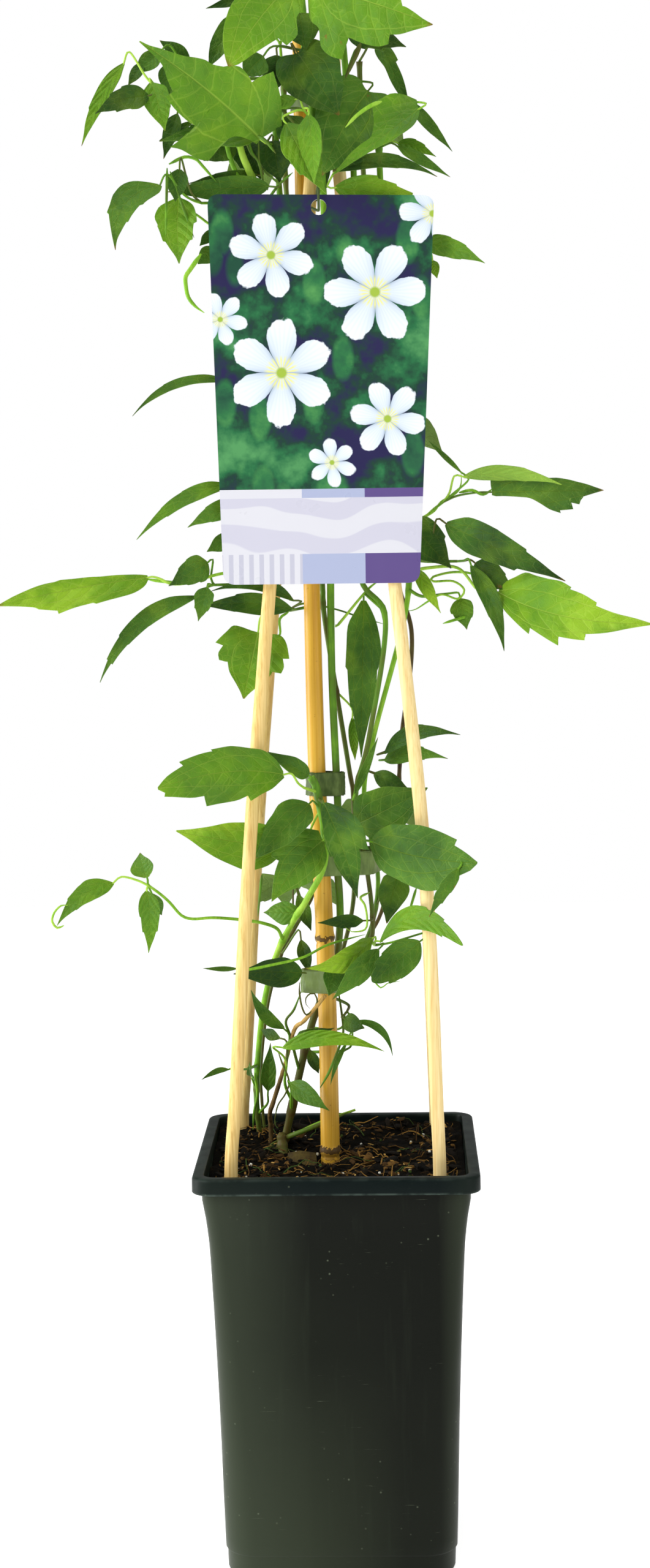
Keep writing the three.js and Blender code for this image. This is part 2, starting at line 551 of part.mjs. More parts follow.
// The leaves that face the front, each as [shoot, height where its stalk leaves the shoot, points
// of the stalk, leaflets], and each leaflet as [foot, tip, width, outline, roll, arch, sweep].
const LEAVES = [
  // Low leaves round the feet of the shoots.
  [FRONT_LEFT, 196, [[-35, 30, 202]], [[[-34, 26, 210], [-32, 16, 235], 7.5, PLAIN, 0, 0.06, 0]]],
  [FRONT_LEFT, 210, [[-41, 22, 216]], [[[-40, 4, 222], [-39, -34, 237], 3, SMALL, 20, 0.05, 0]]],
  [FRONT_LEFT, 222, [[-43, 10, 224]], [[[-50, -18, 230], [-61, -34, 229], 3, SMALL, 30, 0.05, 0.05]]],
  [MIDDLE, 188, [[-8, 16, 197], [8, 14, 203]], []],
  [MIDDLE, 202, [[-22, 6, 214]], [[[-22, 2, 219], [-4, -12, 209], 9.5, TOOTHED, 10, 0.08, 0]]],
  [MIDDLE, 206, [[-25, 8, 217], [-24, 4, 227]], [
    [[-25, -8, 238], [22, -20, 238], 8, PLAIN, 0, 0.06, -0.13],
    [[-25, 2, 245], [-39, -16, 267], 7, PLAIN, -20, 0.05, -0.05],
    [[-27, 4, 240], [-36, 10, 243], 5.5, SMALL, 0, 0.05, 0],
  ]],
  [MIDDLE, 232, [[-11, 6, 238]], [[[-19, -1, 241], [-1, -8, 247], 7, PLAIN, 0, 0.1, 0]]],
  [MIDDLE, 236, [], [[[-13, 9, 233], [-9, 8, 222], 6, SMALL, 0, 0.05, 0]]],
  [LEFT, 229, [[3, 12, 232]], [[[5, -6, 240], [-3, -12, 221], 2.5, SMALL, 0, 0.05, 0.05]]],
  [LEFT, 241, [[-2, 16, 241]], [[[9, -2, 249], [26, -14, 235], 4, PLAIN, 20, 0.05, -0.19]]],
  [LEFT, 257, [[5, 14, 254], [5, 1, 253]], [
    [[4, -6, 251], [13, -14, 248], 9.5, SMALL, 0, 0.08, 0],
  ]],
  [FRONT_RIGHT, 272, [[4, 2, 274]], [[[1, -12, 276], [-3, -22, 265], 10.5, SMALL, 0, 0.06, 0]]],
  [BACK_LEFT, 274, [], [[[-17, 25, 283], [-13, 20, 268], 7, SMALL, 0, 0.05, 0]]],
  [BACK_LEFT, 286, [], [[[-18, 24, 305], [-12, 22, 288], 7, SMALL, 0, 0.05, 0]]],
  // The lower tuft, left.
  [FRONT_LEFT, 274, [], [
    [[-16, -1, 272], [-47, -14, 274], 14, PLAIN, 0, 0.05, 0.03],
    [[-45, -22, 278], [-60, -32, 280], 2.5, SMALL, 0, 0.05, 0],
  ]],
  [FRONT_LEFT, 286, [[-27, -2, 293], [-40, -20, 300], [-64, -33, 303], [-83, -38, 319]], [
    [[-99, -42, 321], [-123, -55, 304], 10, TOOTHED, 15, 0.1, 0.1],
    [[-84, -40, 317], [-83, -48, 290], 10, TOOTHED, 0, 0.1, -0.05],
    [[-82, -36, 315], [-78, -34, 305], 7, SMALL, 0, 0.1, 0],
    [[-84, -38, 323], [-87, -37, 334], 12, SMALL, -20, 0.1, 0],
  ]],
  [FRONT_LEFT, 300, [], [[[-19, 10, 299], [-32, 14, 297], 10.5, SMALL, 0, 0.08, 0]]],
  [FRONT_LEFT, 339, [], [[[-5, -15, 336], [-28, -28, 310], 27, TOOTHED, 0, 0.08, 0.05]]],
  [FRONT_LEFT, 350, [], [
    [[-22, -11, 333], [-71, -30, 343], 24, PLAIN, -15, 0.05, 0],
    [[-11, -16, 353], [-36, -26, 329], 19, TOOTHED, 30, 0.1, -0.05],
  ]],
  [FRONT_LEFT, 355, [[-5, -17, 354]], [[[-4, -22, 354], [11, -34, 312], 23, TOOTHED, 0, 0.08, 0.06]]],
  [FRONT_LEFT, 358, [[-13, -20, 361]], [[[-22, -29, 368], [-76, -64, 369], 26, CUT, 15, 0.08, 0.02]]],
  [FRONT_LEFT, 363, [], [[[-11, -14, 366], [-29, -22, 378], 9, PLAIN, 30, 0.1, -0.05]]],
  // The lower tuft, right.
  [FRONT_RIGHT, 285, [[18, -2, 285]], [
    [[21, -16, 289], [58, -70, 295], 11, TOOTHED, 20, 0.04, -0.17],
    [[17, -8, 289], [-13, -24, 278], 11.5, TOOTHED, -10, 0.12, -0.08],
    [[39, -18, 289], [17, -26, 272], 16, TOOTHED, 0, 0.06, 0],
    [[20, -15, 285], [-1, -26, 264], 10.5, PLAIN, 0, 0.06, 0],
  ]],
  [FRONT_RIGHT, 296, [], [[[13, -5, 297], [-8, -10, 297], 6.5, PLAIN, 0, 0.08, 0.02]]],
  [FRONT_RIGHT, 363, [], [[[10, -5, 356], [21, -12, 383], 4, SMALL, 0, 0.04, 0]]],
  [RIGHT, 300, [], [[[29, -1, 319], [24, -8, 296], 14, TOOTHED, 0, 0.06, 0]]],
  [RIGHT, 331, [[41, -22, 330], [54, -48, 331]], [
    [[56, -58, 328], [43, -60, 307], 8.5, TOOTHED, -20, 0.1, 0.08],
  ]],
  [RIGHT, 330, [[19, -6, 334]], [[[18, -22, 336], [65, -60, 335], 28.5, CUT, 0, 0.08, -0.04]]],
  [RIGHT, 338, [[18, 0, 341]], [[[11, -10, 343], [43, -28, 361], 25, PLAIN, 0, 0.06, 0]]],
  [BACK_RIGHT, 359, [], [[[19, 20, 363], [35, 14, 356], 9, SMALL, 0, 0.08, 0]]],
  [BACK_RIGHT, 370, [], [[[24, 14, 370], [53, -4, 372], 9, TOOTHED, 0, 0.06, -0.1]]],
  [BACK_RIGHT, 376, [], [[[24, 8, 374], [58, -16, 384], 8, PLAIN, 10, 0.06, -0.13]]],
  // The leaves at mid height, left.
  [LEFT, 403, [], [[[9, 15, 390], [10, 15, 370], 5, SMALL, 0, 0.05, 0]]],
  [LEFT, 444, [[-12, 16, 442], [-19, 4, 441]], [
    [[-18, -4, 442], [-60, -14, 444], 10, PLAIN, 0, 0.06, 0.05],
    [[-17, -8, 446], [-54, -24, 451], 6, PLAIN, 0, 0.1, 0.14],
    [[-33, -16, 432], [-40, -18, 402], 34.5, LOBED, 0, 0.08, 0],
  ]],
  [LEFT, 455, [[-24, -2, 454], [-39, -16, 454], [-52, -24, 454]], [
    [[-60, -28, 449], [-102, -50, 413], 10, CUT, 20, 0.08, 0.1],
    [[-55, -29, 453], [-59, -33, 438], 8.5, SMALL, 0, 0.06, 0],
    [[-55, -24, 464], [-72, -34, 454], 12, SMALL, 0, 0.1, 0],
  ]],
  [LEFT, 461, [[-20, 4, 461], [-28, -12, 462], [-65, -31, 460], [-75, -34, 458]], [
    [[-81, -36, 458], [-145, -62, 447], 19, CUT, 15, 0.06, 0.02],
  ]],
  [LEFT, 476, [[-27, -8, 478]], [
    [[-45, -20, 499], [-85, -42, 475], 8, TOOTHED, 20, 0.08, 0.06],
    [[-40, -20, 490], [-63, -32, 480], 9, PLAIN, 0, 0.08, 0.05],
    [[-42, -20, 475], [-55, -26, 469], 8.5, SMALL, 0, 0.08, 0.05],
  ]],
  [LEFT, 542, [[-27, -4, 544]], [[[-43, -16, 545], [-86, -38, 530], 5.5, PLAIN, 30, 0.06, 0.12]]],
  // The leaves at mid height, right.
  [FRONT_RIGHT, 441, [[16, 4, 448]], [[[15, 9, 445], [13, 8, 372], 16.5, TOOTHED, 0, 0.05, 0]]],
  [RIGHT, 450, [[42, -4, 447], [51, -8, 448]], [
    [[59, -12, 446], [62, -14, 432], 10, SMALL, 0, 0.08, 0],
  ]],
  [RIGHT, 455, [[38, -12, 458]], [[[39, -20, 460], [50, -26, 440], 6.5, PLAIN, 0, 0.08, 0]]],
  [RIGHT, 458, [[45, -4, 460], [58, -12, 460], [66, -20, 451]], [
    [[76, -26, 449], [141, -66, 436], 28, CUT, 15, 0.08, -0.02],
  ]],
  [RIGHT, 464, [[45, -6, 463], [58, -12, 463]], [
    [[66, -18, 462], [83, -28, 449], 13, TOOTHED, 0, 0.06, 0],
    [[64, -22, 461], [78, -36, 423], 8.5, PLAIN, 0, 0.08, -0.06],
  ]],
  [RIGHT, 467, [[44, -10, 468]], [[[53, -20, 480], [104, -48, 455], 16, TOOTHED, 10, 0.08, 0.02]]],
  [RIGHT, 469, [[37, -6, 473]], [[[35, -10, 482], [55, -16, 460], 19, PLAIN, 0, 0.06, 0]]],
  [RIGHT, 482, [[43, -4, 483], [52, -12, 490]], [
    [[60, -16, 503], [45, -10, 518], 2.5, SMALL, 0, 0.06, 0],
    [[61, -18, 501], [104, -38, 497], 8, PLAIN, 150, 0.05, 0.04],
    [[74, -14, 494], [123, -32, 494], 20, CUT, 0, 0.06, 0],
  ]],
  [RIGHT, 604, [[37, -6, 606]], [
    [[44, -10, 606], [71, -26, 595], 10, TOOTHED, 0, 0.06, -0.04],
    [[48, -10, 598], [50, -12, 590], 5, SMALL, 0, 0.06, 0],
  ]],
  // The head, left.
  [LEFT, 614, [[-36, -10, 614]], [
    [[-49, -19, 612], [-56, -22, 605], 5.5, SMALL, 0, 0.05, 0],
    [[-49, -18, 604], [-57, -22, 597], 8.5, SMALL, 0, 0.05, 0],
  ]],
  [LEFT, 626, [[-36, -10, 625], [-55, -20, 624]], [
    [[-65, -22, 626], [-65, -26, 597], 19.5, TOOTHED, -10, 0.08, 0],
    [[-64, -26, 638], [-66, -28, 624], 10, SMALL, 0, 0.08, 0],
    [[-72, -36, 630], [-90, -58, 600], 15, TOOTHED, 10, 0.08, 0.17],
  ]],
  [LEFT, 646, [[-29, -8, 644]], [
    [[-30, -12, 637], [-61, -18, 633], 6, PLAIN, 0, 0.08, 0],
    [[-25, -19, 631], [-70, -21, 629], 11.5, PLAIN, 0, 0, 0],
    [[-40, -13, 652], [-54, -16, 643], 13, PLAIN, 0, 0.06, 0],
    [[-35, -2, 653], [-29, -6, 636], 17, PLAIN, 0, 0.06, 0],
    [[-23, -10, 652], [-20, -14, 633], 16, PLAIN, 0, 0.06, 0],
  ]],
  [LEFT, 651, [[-25, -16, 650]], [
    [[-28, -24, 651], [-78, -52, 689], 50, LOBED, -12, 0.08, 0],
    [[-31, -18, 652], [-72, -32, 650], 14, TOOTHED, 20, 0.06, 0.03],
  ]],
  [LEFT, 664, [[-51, -22, 662], [-71, -32, 671]], [
    [[-76, -40, 668], [-98, -52, 659], 11.5, TOOTHED, 0, 0.06, 0.06],
    [[-75, -37, 674], [-69, -40, 653], 12.5, PLAIN, 0, 0.08, -0.03],
    [[-87, -34, 683], [-105, -46, 646], 7, PLAIN, 0, 0.04, 0.04],
  ]],
  [LEFT, 672, [[-54, -14, 671]], [
    [[-65, -20, 663], [-71, -26, 643], 7.5, PLAIN, 0, 0.06, 0],
    [[-58, -18, 660], [-73, -24, 651], 3.5, SMALL, 0, 0.05, 0],
  ]],
  [LEFT, 680, [[-54, -8, 680]], [
    [[-80, -20, 685], [-86, -26, 675], 5.5, SMALL, 0, 0.05, 0],
    [[-73, -16, 690], [-83, -22, 681], 9, SMALL, 0, 0.06, 0],
    [[-70, -12, 686], [-68, -16, 671], 9, SMALL, 0, 0.06, 0],
    [[-60, -6, 688], [-73, -10, 697], 8, SMALL, 0, 0.06, 0],
  ]],
  [BACK_LEFT, 680, [[-20, 14, 698]], [
    [[-24, 14, 703], [-48, 14, 722], 18, TOOTHED, 60, 0.08, 0.05],
    [[-18, 17, 704], [-14, 36, 732], 17, TOOTHED, 120, 0.08, 0],
  ]],
  // The head, front and top.
  [MIDDLE, 659, [[-6, -26, 660], [-8, -30, 662]], [
    [[-16, -34, 656], [1, -36, 625], 16.5, TOOTHED, 20, 0.1, 0.06],
    [[-6, -38, 659], [-4, -40, 629], 12.5, PLAIN, -30, 0.1, -0.08],
    [[-12, -30, 667], [-23, -31, 664], 6.5, SMALL, 0, 0.06, 0],
    [[-16, -22, 661], [-10, -26, 644], 14, PLAIN, 0, 0.06, 0],
  ]],
  [MIDDLE, 648, [], [[[-6, -11, 648], [1, -10, 631], 13, PLAIN, 0, 0.06, 0]]],
  [MIDDLE, 690, [], [
    [[-10, -24, 705], [-7, -26, 689], 18, PLAIN, 0, 0.06, 0],
    [[-26, -28, 686], [-35, -30, 677], 13, PLAIN, 0, 0.06, 0],
    [[-20, -24, 687], [-22, -26, 670], 13, PLAIN, 0, 0.06, 0],
  ]],
  [MIDDLE, 672, [], [[[-11, -24, 688], [7, -31, 660], 27, HEART, 0, 0.06, 0]]],
  [MIDDLE, 701, [[-12, -28, 707]], [
    [[-13, -36, 715], [-40, -48, 679], 31, LOBED, -10, 0.08, 0.04],
    [[-37, -30, 704], [-51, -26, 681], 10, PLAIN, 0, 0.06, 0],
  ]],
  [MIDDLE, 707, [], [[[-29, -18, 714], [-51, -28, 707], 5, SMALL, 0, 0.06, 0]]],
  [MIDDLE, 712, [[-10, -14, 728]], [
    [[-14, -13, 731], [-34, -8, 752], 17, TOOTHED, 30, 0.08, 0.05],
    [[-10, -18, 732], [-6, -37, 756], 16, TOOTHED, 60, 0.1, 0],
    [[-6, -13, 731], [16, -10, 750], 16, PLAIN, 30, 0.08, -0.05],
  ]],
  [FRONT_RIGHT, 646, [[8, -16, 642]], [
    [[6, -20, 637], [50, -28, 633], 7, PLAIN, 10, 0.06, -0.11],
    [[5, -18, 630], [45, -21, 623], 14.5, CUT, 0, 0.05, 0],
  ]],
  [FRONT_RIGHT, 678, [], [[[20, -18, 672], [-1, -24, 635], 31, HEART, 0, 0.08, 0.03]]],
  [FRONT_RIGHT, 701, [[2, -26, 708]], [
    [[0, -36, 713], [48, -52, 694], 40, LOBED, -12, 0.08, -0.02],
    [[11, -22, 699], [37, -28, 689], 14.5, TOOTHED, 0, 0.06, 0],
  ]],
  [FRONT_RIGHT, 702, [[10, -6, 718]], [
    [[13, -4, 720], [38, 4, 738], 17, TOOTHED, 70, 0.08, 0],
    [[9, -1, 721], [6, 22, 742], 16, PLAIN, 110, 0.08, 0],
  ]],
  // The head, right.
  [RIGHT, 649, [], [
    [[33, -14, 648], [56, -24, 633], 5, PLAIN, 0, 0.06, 0],
    [[33, -10, 650], [50, -16, 643], 6.5, SMALL, 0, 0.06, -0.05],
  ]],
  [RIGHT, 662, [[32, -18, 666]], [[[42, -28, 662], [4, -36, 633], 20, TOOTHED, 20, 0.1, 0.04]]],
  [RIGHT, 666, [[34, -8, 668]], [[[38, -12, 668], [57, -20, 645], 5.5, PLAIN, 0, 0.05, 0]]],
  [BACK_RIGHT, 690, [], [[[26, -4, 694], [38, -8, 667], 8.5, TOOTHED, 0, 0.04, -0.04]]],
];

// The leaves that face away from the front, each three leaflets on one stalk: [shoot, height of
// the leaf's joint, the stalk's end, the leaf's heading in degrees from +X, leaflet length].
const BACK_LEAVES = [
  [BACK_RIGHT, 330, [22, 40, 344], 95, 34],
  [BACK_RIGHT, 510, [28, 31, 527], 85, 34],
  [BACK_RIGHT, 596, [22, 34, 615], 80, 33],
  [BACK_RIGHT, 650, [18, 31, 668], 100, 30],
  [BACK_LEFT, 296, [-20, 46, 307], 100, 34],
  [BACK_LEFT, 470, [-12, 38, 485], 95, 34],
  [BACK_LEFT, 556, [-18, 44, 575], 95, 34],
  [BACK_LEFT, 640, [-24, 42, 657], 100, 32],
];
const BACK_LEAFLETS = [
  { turn: -58, share: 0.8, outline: PLAIN },
  { turn: 0, share: 1, outline: TOOTHED },
  { turn: 58, share: 0.8, outline: TOOTHED },
];
const BACK_LEAF_DROOP = 0.5; // how far a leaflet's tip hangs, as a share of its length
const BACK_LEAF_STALKLET = 5;
const BACK_LEAF_RISE = 1.5; // how far a stalklet climbs
const BACK_LEAF_REACH = 0.85; // shares of a leaflet's length
const BACK_LEAF_WIDTH = 0.58;
const BACK_LEAF_ROLL = 150;
const BACK_LEAF_ARCH = 0.1;

// Spreads the three leaflets of a leaf of the back about its heading.
function backLeaf([shoot, height, end, heading, length]) {
  const leaflets = BACK_LEAFLETS.map(({ turn, share, outline }) => {
    const angle = THREE.MathUtils.degToRad(heading + turn);
    const along = (distance, drop) => [
      end[0] + distance * Math.cos(angle), end[1] + distance * Math.sin(angle), end[2] - drop,
    ];
    const size = length * share;
    const foot = along(BACK_LEAF_STALKLET, -BACK_LEAF_RISE);
    const tip = along(BACK_LEAF_STALKLET + size * BACK_LEAF_REACH, size * BACK_LEAF_DROOP);
    return [foot, tip, size * BACK_LEAF_WIDTH, outline, BACK_LEAF_ROLL, BACK_LEAF_ARCH, 0];
  });
  return [shoot, height, [end], leaflets];
}

function shootGeometry({ course, radii }) {
  const spine = course.map(vector);
  const parts = [tube(spine, taper(spine.length, ...radii), SHOOT_SIDES)];
  [...LEAVES, ...BACK_LEAVES.map(backLeaf)].forEach(([shoot, height, stalkPoints, leaflets]) => {
    if (shoot === course) parts.push(...leafGeometries(spine, height, stalkPoints, leaflets));
  });
  return toGeometry(fuse(parts));
}

// ---- Assembly --------------------------------------------------------------------------------

const plant = new THREE.Group();
plant.name = 'clematis';

function add(name, geometry, material) {
  const mesh = new THREE.Mesh(geometry, material.clone());
  mesh.name = name;
  plant.add(mesh);
}

// What stands in the soil, each with a hole of its own there.
const soilHoles = [];

function standInSoil(path, radii, sides) {
  soilHoles.push(tube(path, radii.map((radius) => radius + GAP), sides));
}

function addPole(name, path, radii, sides, material) {
  add(name, tube(path, radii, sides), material);
  standInSoil(path, radii, sides);
}

add('pot', potGeometry(), MATERIALS.pot);
[['front', -1], ['back', 1]].forEach(([depthName, sideY]) => {
  [['left', -1, STAKE_LEFT], ['right', 1, STAKE_RIGHT]].forEach(([sideName, sideX, course]) => {
    const path = stakePath(course, sideX, sideY);
    const radii = path.map(() => STAKE_RADIUS);
    addPole(`stake_${depthName}_${sideName}`, path, radii, POLE_SIDES, MATERIALS.stake);
  });
});
addPole('cane', CANE_PATH, caneRadii(), POLE_SIDES, MATERIALS.cane);
addPole('dead_stem', DEAD_STEM, taper(DEAD_STEM.length, ...DEAD_STEM_RADII), SHOOT_SIDES, MATERIALS.twig);
SHOOTS.forEach((shoot) => {
  const foot = shoot.course.slice(0, 5).map(vector);
  standInSoil(foot, foot.map(() => shoot.radii[0]), SHOOT_SIDES);
  add(shoot.name, shootGeometry(shoot), MATERIALS.leaf);
});
add('soil', soilGeometry(soilHoles), MATERIALS.soil);
TAPES.forEach(({ name, middle, posts }) => add(name, tapeGeometry(posts, middle), MATERIALS.tape));
add('label', labelGeometry(), MATERIALS.label);
const tieRadii = LABEL_TIE.map(() => LABEL_TIE_RADIUS);
add('label_tie', tube(LABEL_TIE, tieRadii, LABEL_TIE_SIDES, true), MATERIALS.tape);

export default plant;
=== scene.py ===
import math
import random

import bpy
import numpy as np
from mathutils import Matrix, Quaternion, Vector, noise


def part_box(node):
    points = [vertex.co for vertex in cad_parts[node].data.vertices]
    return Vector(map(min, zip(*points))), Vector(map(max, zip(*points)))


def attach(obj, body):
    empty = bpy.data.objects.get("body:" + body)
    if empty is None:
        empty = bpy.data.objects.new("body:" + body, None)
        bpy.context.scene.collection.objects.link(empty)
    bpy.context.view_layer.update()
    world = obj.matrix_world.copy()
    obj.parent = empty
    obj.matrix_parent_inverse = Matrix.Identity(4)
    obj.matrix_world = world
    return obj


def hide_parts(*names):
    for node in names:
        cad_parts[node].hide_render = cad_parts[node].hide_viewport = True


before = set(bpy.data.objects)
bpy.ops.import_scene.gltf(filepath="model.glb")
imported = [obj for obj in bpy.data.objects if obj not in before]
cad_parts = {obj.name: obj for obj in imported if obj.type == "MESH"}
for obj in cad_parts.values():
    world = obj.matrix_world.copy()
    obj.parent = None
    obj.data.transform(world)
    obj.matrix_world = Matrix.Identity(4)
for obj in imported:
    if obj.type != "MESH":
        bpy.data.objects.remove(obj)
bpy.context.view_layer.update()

# A young clematis in a deep square nursery pot. Shapes are worked out in millimetres, in the
# CAD's frame, and turned into metres as each piece is made.
MM = 0.001

# ---- Camera, light and floor -------------------------------------------------------------

CAMERA_PLACE = (26.385, -1187.59, 484.293)
CAMERA_YAW = -0.0255
CAMERA_PITCH = 0.1038  # downwards
CAMERA_ROLL = -0.0139
CAMERA_LENS = 59.06
AMBIENT = 0.4
FLOOR_GLOW = 0.6
FLOOR_SIDE, FLOOR_LINES = 4.0, 9
LAMP_AIM = (0, 0, 0.38)
# Each soft light: name, place, its two sides, power.
LAMPS = [
    ("key", (-1.3, -1.1, 1.3), (0.9, 1.1), 21),
    ("fill", (1.4, -1.1, 0.8), (0.8, 1.2), 8),
    ("side", (-1.2, 0.05, 0.4), (0.7, 1.0), 16),
    ("top", (0.1, -0.2, 2.0), (1.2, 1.2), 12),
]


def make_camera():
    ahead = Vector((math.sin(CAMERA_YAW) * math.cos(CAMERA_PITCH),
                    math.cos(CAMERA_YAW) * math.cos(CAMERA_PITCH),
                    -math.sin(CAMERA_PITCH)))
    level = Vector((math.cos(CAMERA_YAW), -math.sin(CAMERA_YAW), 0))
    above = level.cross(ahead)
    right = math.cos(CAMERA_ROLL) * level + math.sin(CAMERA_ROLL) * above
    up = math.cos(CAMERA_ROLL) * above - math.sin(CAMERA_ROLL) * level
    camera = bpy.data.objects.new("camera", bpy.data.cameras.new("camera"))
    camera.data.lens = CAMERA_LENS
    camera.data.clip_start = 0.05
    turn = Matrix((right, up, -ahead)).transposed().to_4x4()
    camera.matrix_world = Matrix.Translation(Vector(CAMERA_PLACE) * MM) @ turn
    bpy.context.scene.collection.objects.link(camera)
    bpy.context.scene.camera = camera


def make_light(name, place, size, power):
    lamp = bpy.data.lights.new(name, "AREA")
    lamp.shape = "RECTANGLE"
    lamp.size, lamp.size_y = size
    lamp.energy = power
    light = bpy.data.objects.new(name, lamp)
    light.location = place
    light.rotation_euler = (Vector(LAMP_AIM) - Vector(place)).to_track_quat("-Z", "Y").to_euler()
    bpy.context.scene.collection.objects.link(light)


def make_world():
    world = bpy.data.worlds.new("studio")
    world.use_nodes = True
    nodes, links = world.node_tree.nodes, world.node_tree.links
    seen = nodes.new("ShaderNodeLightPath").outputs["Is Camera Ray"]
    strength = nodes.new("ShaderNodeMapRange")
    strength.inputs["To Min"].default_value = AMBIENT
    strength.inputs["To Max"].default_value = 1.0
    links.new(seen, strength.inputs["Value"])
    nodes["Background"].inputs["Color"].default_value = (1, 1, 1, 1)
    links.new(strength.outputs[0], nodes["Background"].inputs["Strength"])
    bpy.context.scene.world = world
    bpy.context.scene.view_settings.view_transform = "Standard"


# ---- Materials ---------------------------------------------------------------------------

CLOUD_RANGE = (0.3, 0.7)
VEIN_SPACING = 0.15  # along a leaflet, from one side vein to the next
ARC_VEIN_REACH = 0.55  # how far out the long curved veins lie, as a share of the half width
# The cane's dark bands: foot, top and strength.
CANE_BANDS = [(177.5, 180.8, 0.9), (182.6, 185.6, 0.5), (185.3, 188.5, 0.92), (286.6, 289, 0.85),
              (503, 506, 0.85), (648, 651, 0.85)]
# How the pot's colour changes: along which axis, from where to where, the share of another colour
# at both places, and that colour. Most of it is painted light and shade: lighter on the left
# and at the right-hand corner, darker to the right and towards the top. It is also lighter
# towards the foot.
POT_PAINTED_SHADING = [
    ("z", 0, 110, 0.7, 0, 48, 55, 40), ("z", 80, 165, 0, 0.8, 8, 11, 6),
    ("x", -56, -12, 0.55, 0, 60, 68, 53), ("x", -15, 30, 0, 0.85, 10, 13, 7),
    ("x", 46, 56, 0, 0.6, 50, 57, 43),
]
# The label's print: blossoms as (place across and up, radius, turn), where its right-hand thirds
# start, and how far up its bottom band, panel and strip reach.
BLOSSOMS = [
    ((-24, 600), 19, 0.3), ((22, 583), 23, 0.0), ((-20, 548), 24, 0.55), ((27, 527), 17, 0.2),
    ((2, 508), 11, 0.4), ((48, 617), 15, 0.1), ((-47, 572), 12, 0.2),
]
LABEL_THIRDS = (0.4, 0.68)
LABEL_STRIP, LABEL_PANEL, LABEL_BAND = 0.245, 0.222, 0.078


def tint(red, green, blue):
    """A colour given as on a screen, from 0 to 255."""
    def linear(part):
        part /= 255
        return part / 12.92 if part <= 0.04045 else ((part + 0.055) / 1.055) ** 2.4
    return (linear(red), linear(green), linear(blue), 1)


class Shader:
    """A node material. Each call adds a node and gives one of its outputs."""

    def __init__(self, name, **settings):
        self.material = bpy.data.materials.new(name)
        self.material.use_nodes = True
        self.tree = self.material.node_tree
        self.surface = self.tree.nodes["Principled BSDF"]
        for socket, value in settings.items():
            self.surface.inputs[socket.replace("_", " ")].default_value = value

    def put(self, socket, value):
        if isinstance(value, bpy.types.NodeSocket):
            self.tree.links.new(value, socket)
        else:
            socket.default_value = value

    def add(self, kind, out=0, settings=(), **inputs):
        node = self.tree.nodes.new("ShaderNode" + kind)
        for name, value in dict(settings).items():
            setattr(node, name, value)
        for name, value in inputs.items():
            self.put(node.inputs[name.replace("_", " ")], value)
        return node.outputs[out]

    def calc(self, operation, *values):
        node = self.tree.nodes.new("ShaderNodeMath")
        node.operation = operation
        for socket, value in zip(node.inputs, values):
            self.put(socket, value)
        return node.outputs[0]

    def times(self, *values):
        return self.calc("MULTIPLY", *values)

    def plus(self, *values):
        return self.calc("ADD", *values)

    def minus(self, *values):
        return self.calc("SUBTRACT", *values)

    def most(self, *values):
        return self.calc("MAXIMUM", *values)

    def mix(self, share, first, second):
        node = self.tree.nodes.new("ShaderNodeMix")
        node.data_type = "RGBA"
        for index, value in ((0, share), (6, first), (7, second)):
            self.put(node.inputs[index], value)
        return node.outputs[2]

    def wash(self, colour, share, *over):
        """A colour with a share of another laid over it, given as on a screen."""
        return self.mix(share, colour, tint(*over))

    def span(self, value, low, high, start=0.0, end=1.0):
        """Where a value lies from low to high, as a number from start to end."""
        return self.add("MapRange", Value=value, From_Min=low, From_Max=high,
                        To_Min=start, To_Max=end)

    def swing(self, cloud, start=0.0, end=1.0):
        """A cloud, over the range where nearly all of it lies, as a number from start to end."""
        return self.span(cloud, *CLOUD_RANGE, start, end)

    def ramp(self, value, stops):
        """A colour between stops, each a place and the colour there as on a screen."""
        node = self.tree.nodes.new("ShaderNodeValToRGB")
        self.put(node.inputs[0], value)
        band = node.color_ramp.elements
        while len(band) < len(stops):
            band.new(0.5)
        for element, (place, *colour) in zip(band, stops):
            element.position = place
            element.color = tint(*colour)
        return node.outputs[0]

    def here(self):
        return self.add("TexCoord", "Object")

    def stretched(self, scale):
        return self.add("Mapping", Vector=self.here(), Scale=scale)

    def cloud(self, vector, scale, detail=3.0, roughness=0.55):
        return self.add("TexNoise", Vector=vector, Scale=scale, Detail=detail, Roughness=roughness)

    def split(self, vector):
        node = self.tree.nodes.new("ShaderNodeSeparateXYZ")
        self.put(node.inputs[0], vector)
        return node.outputs

    def painted(self):
        """The parts of a piece's own paint: tone, chance and underside."""
        node = self.tree.nodes.new("ShaderNodeSeparateColor")
        self.put(node.inputs[0], self.add("Attribute", "Color", {"attribute_name": "paint"}))
        return node.outputs

    def finish(self, colour, roughness=None, height=None, depth=0.0002, strength=0.5):
        self.put(self.surface.inputs["Base Color"], colour)
        if roughness is not None:
            self.put(self.surface.inputs["Roughness"], roughness)
        if height is not None:
            bump = self.add("Bump", Height=height, Distance=depth, Strength=strength)
            self.put(self.surface.inputs["Normal"], bump)
        return self.material


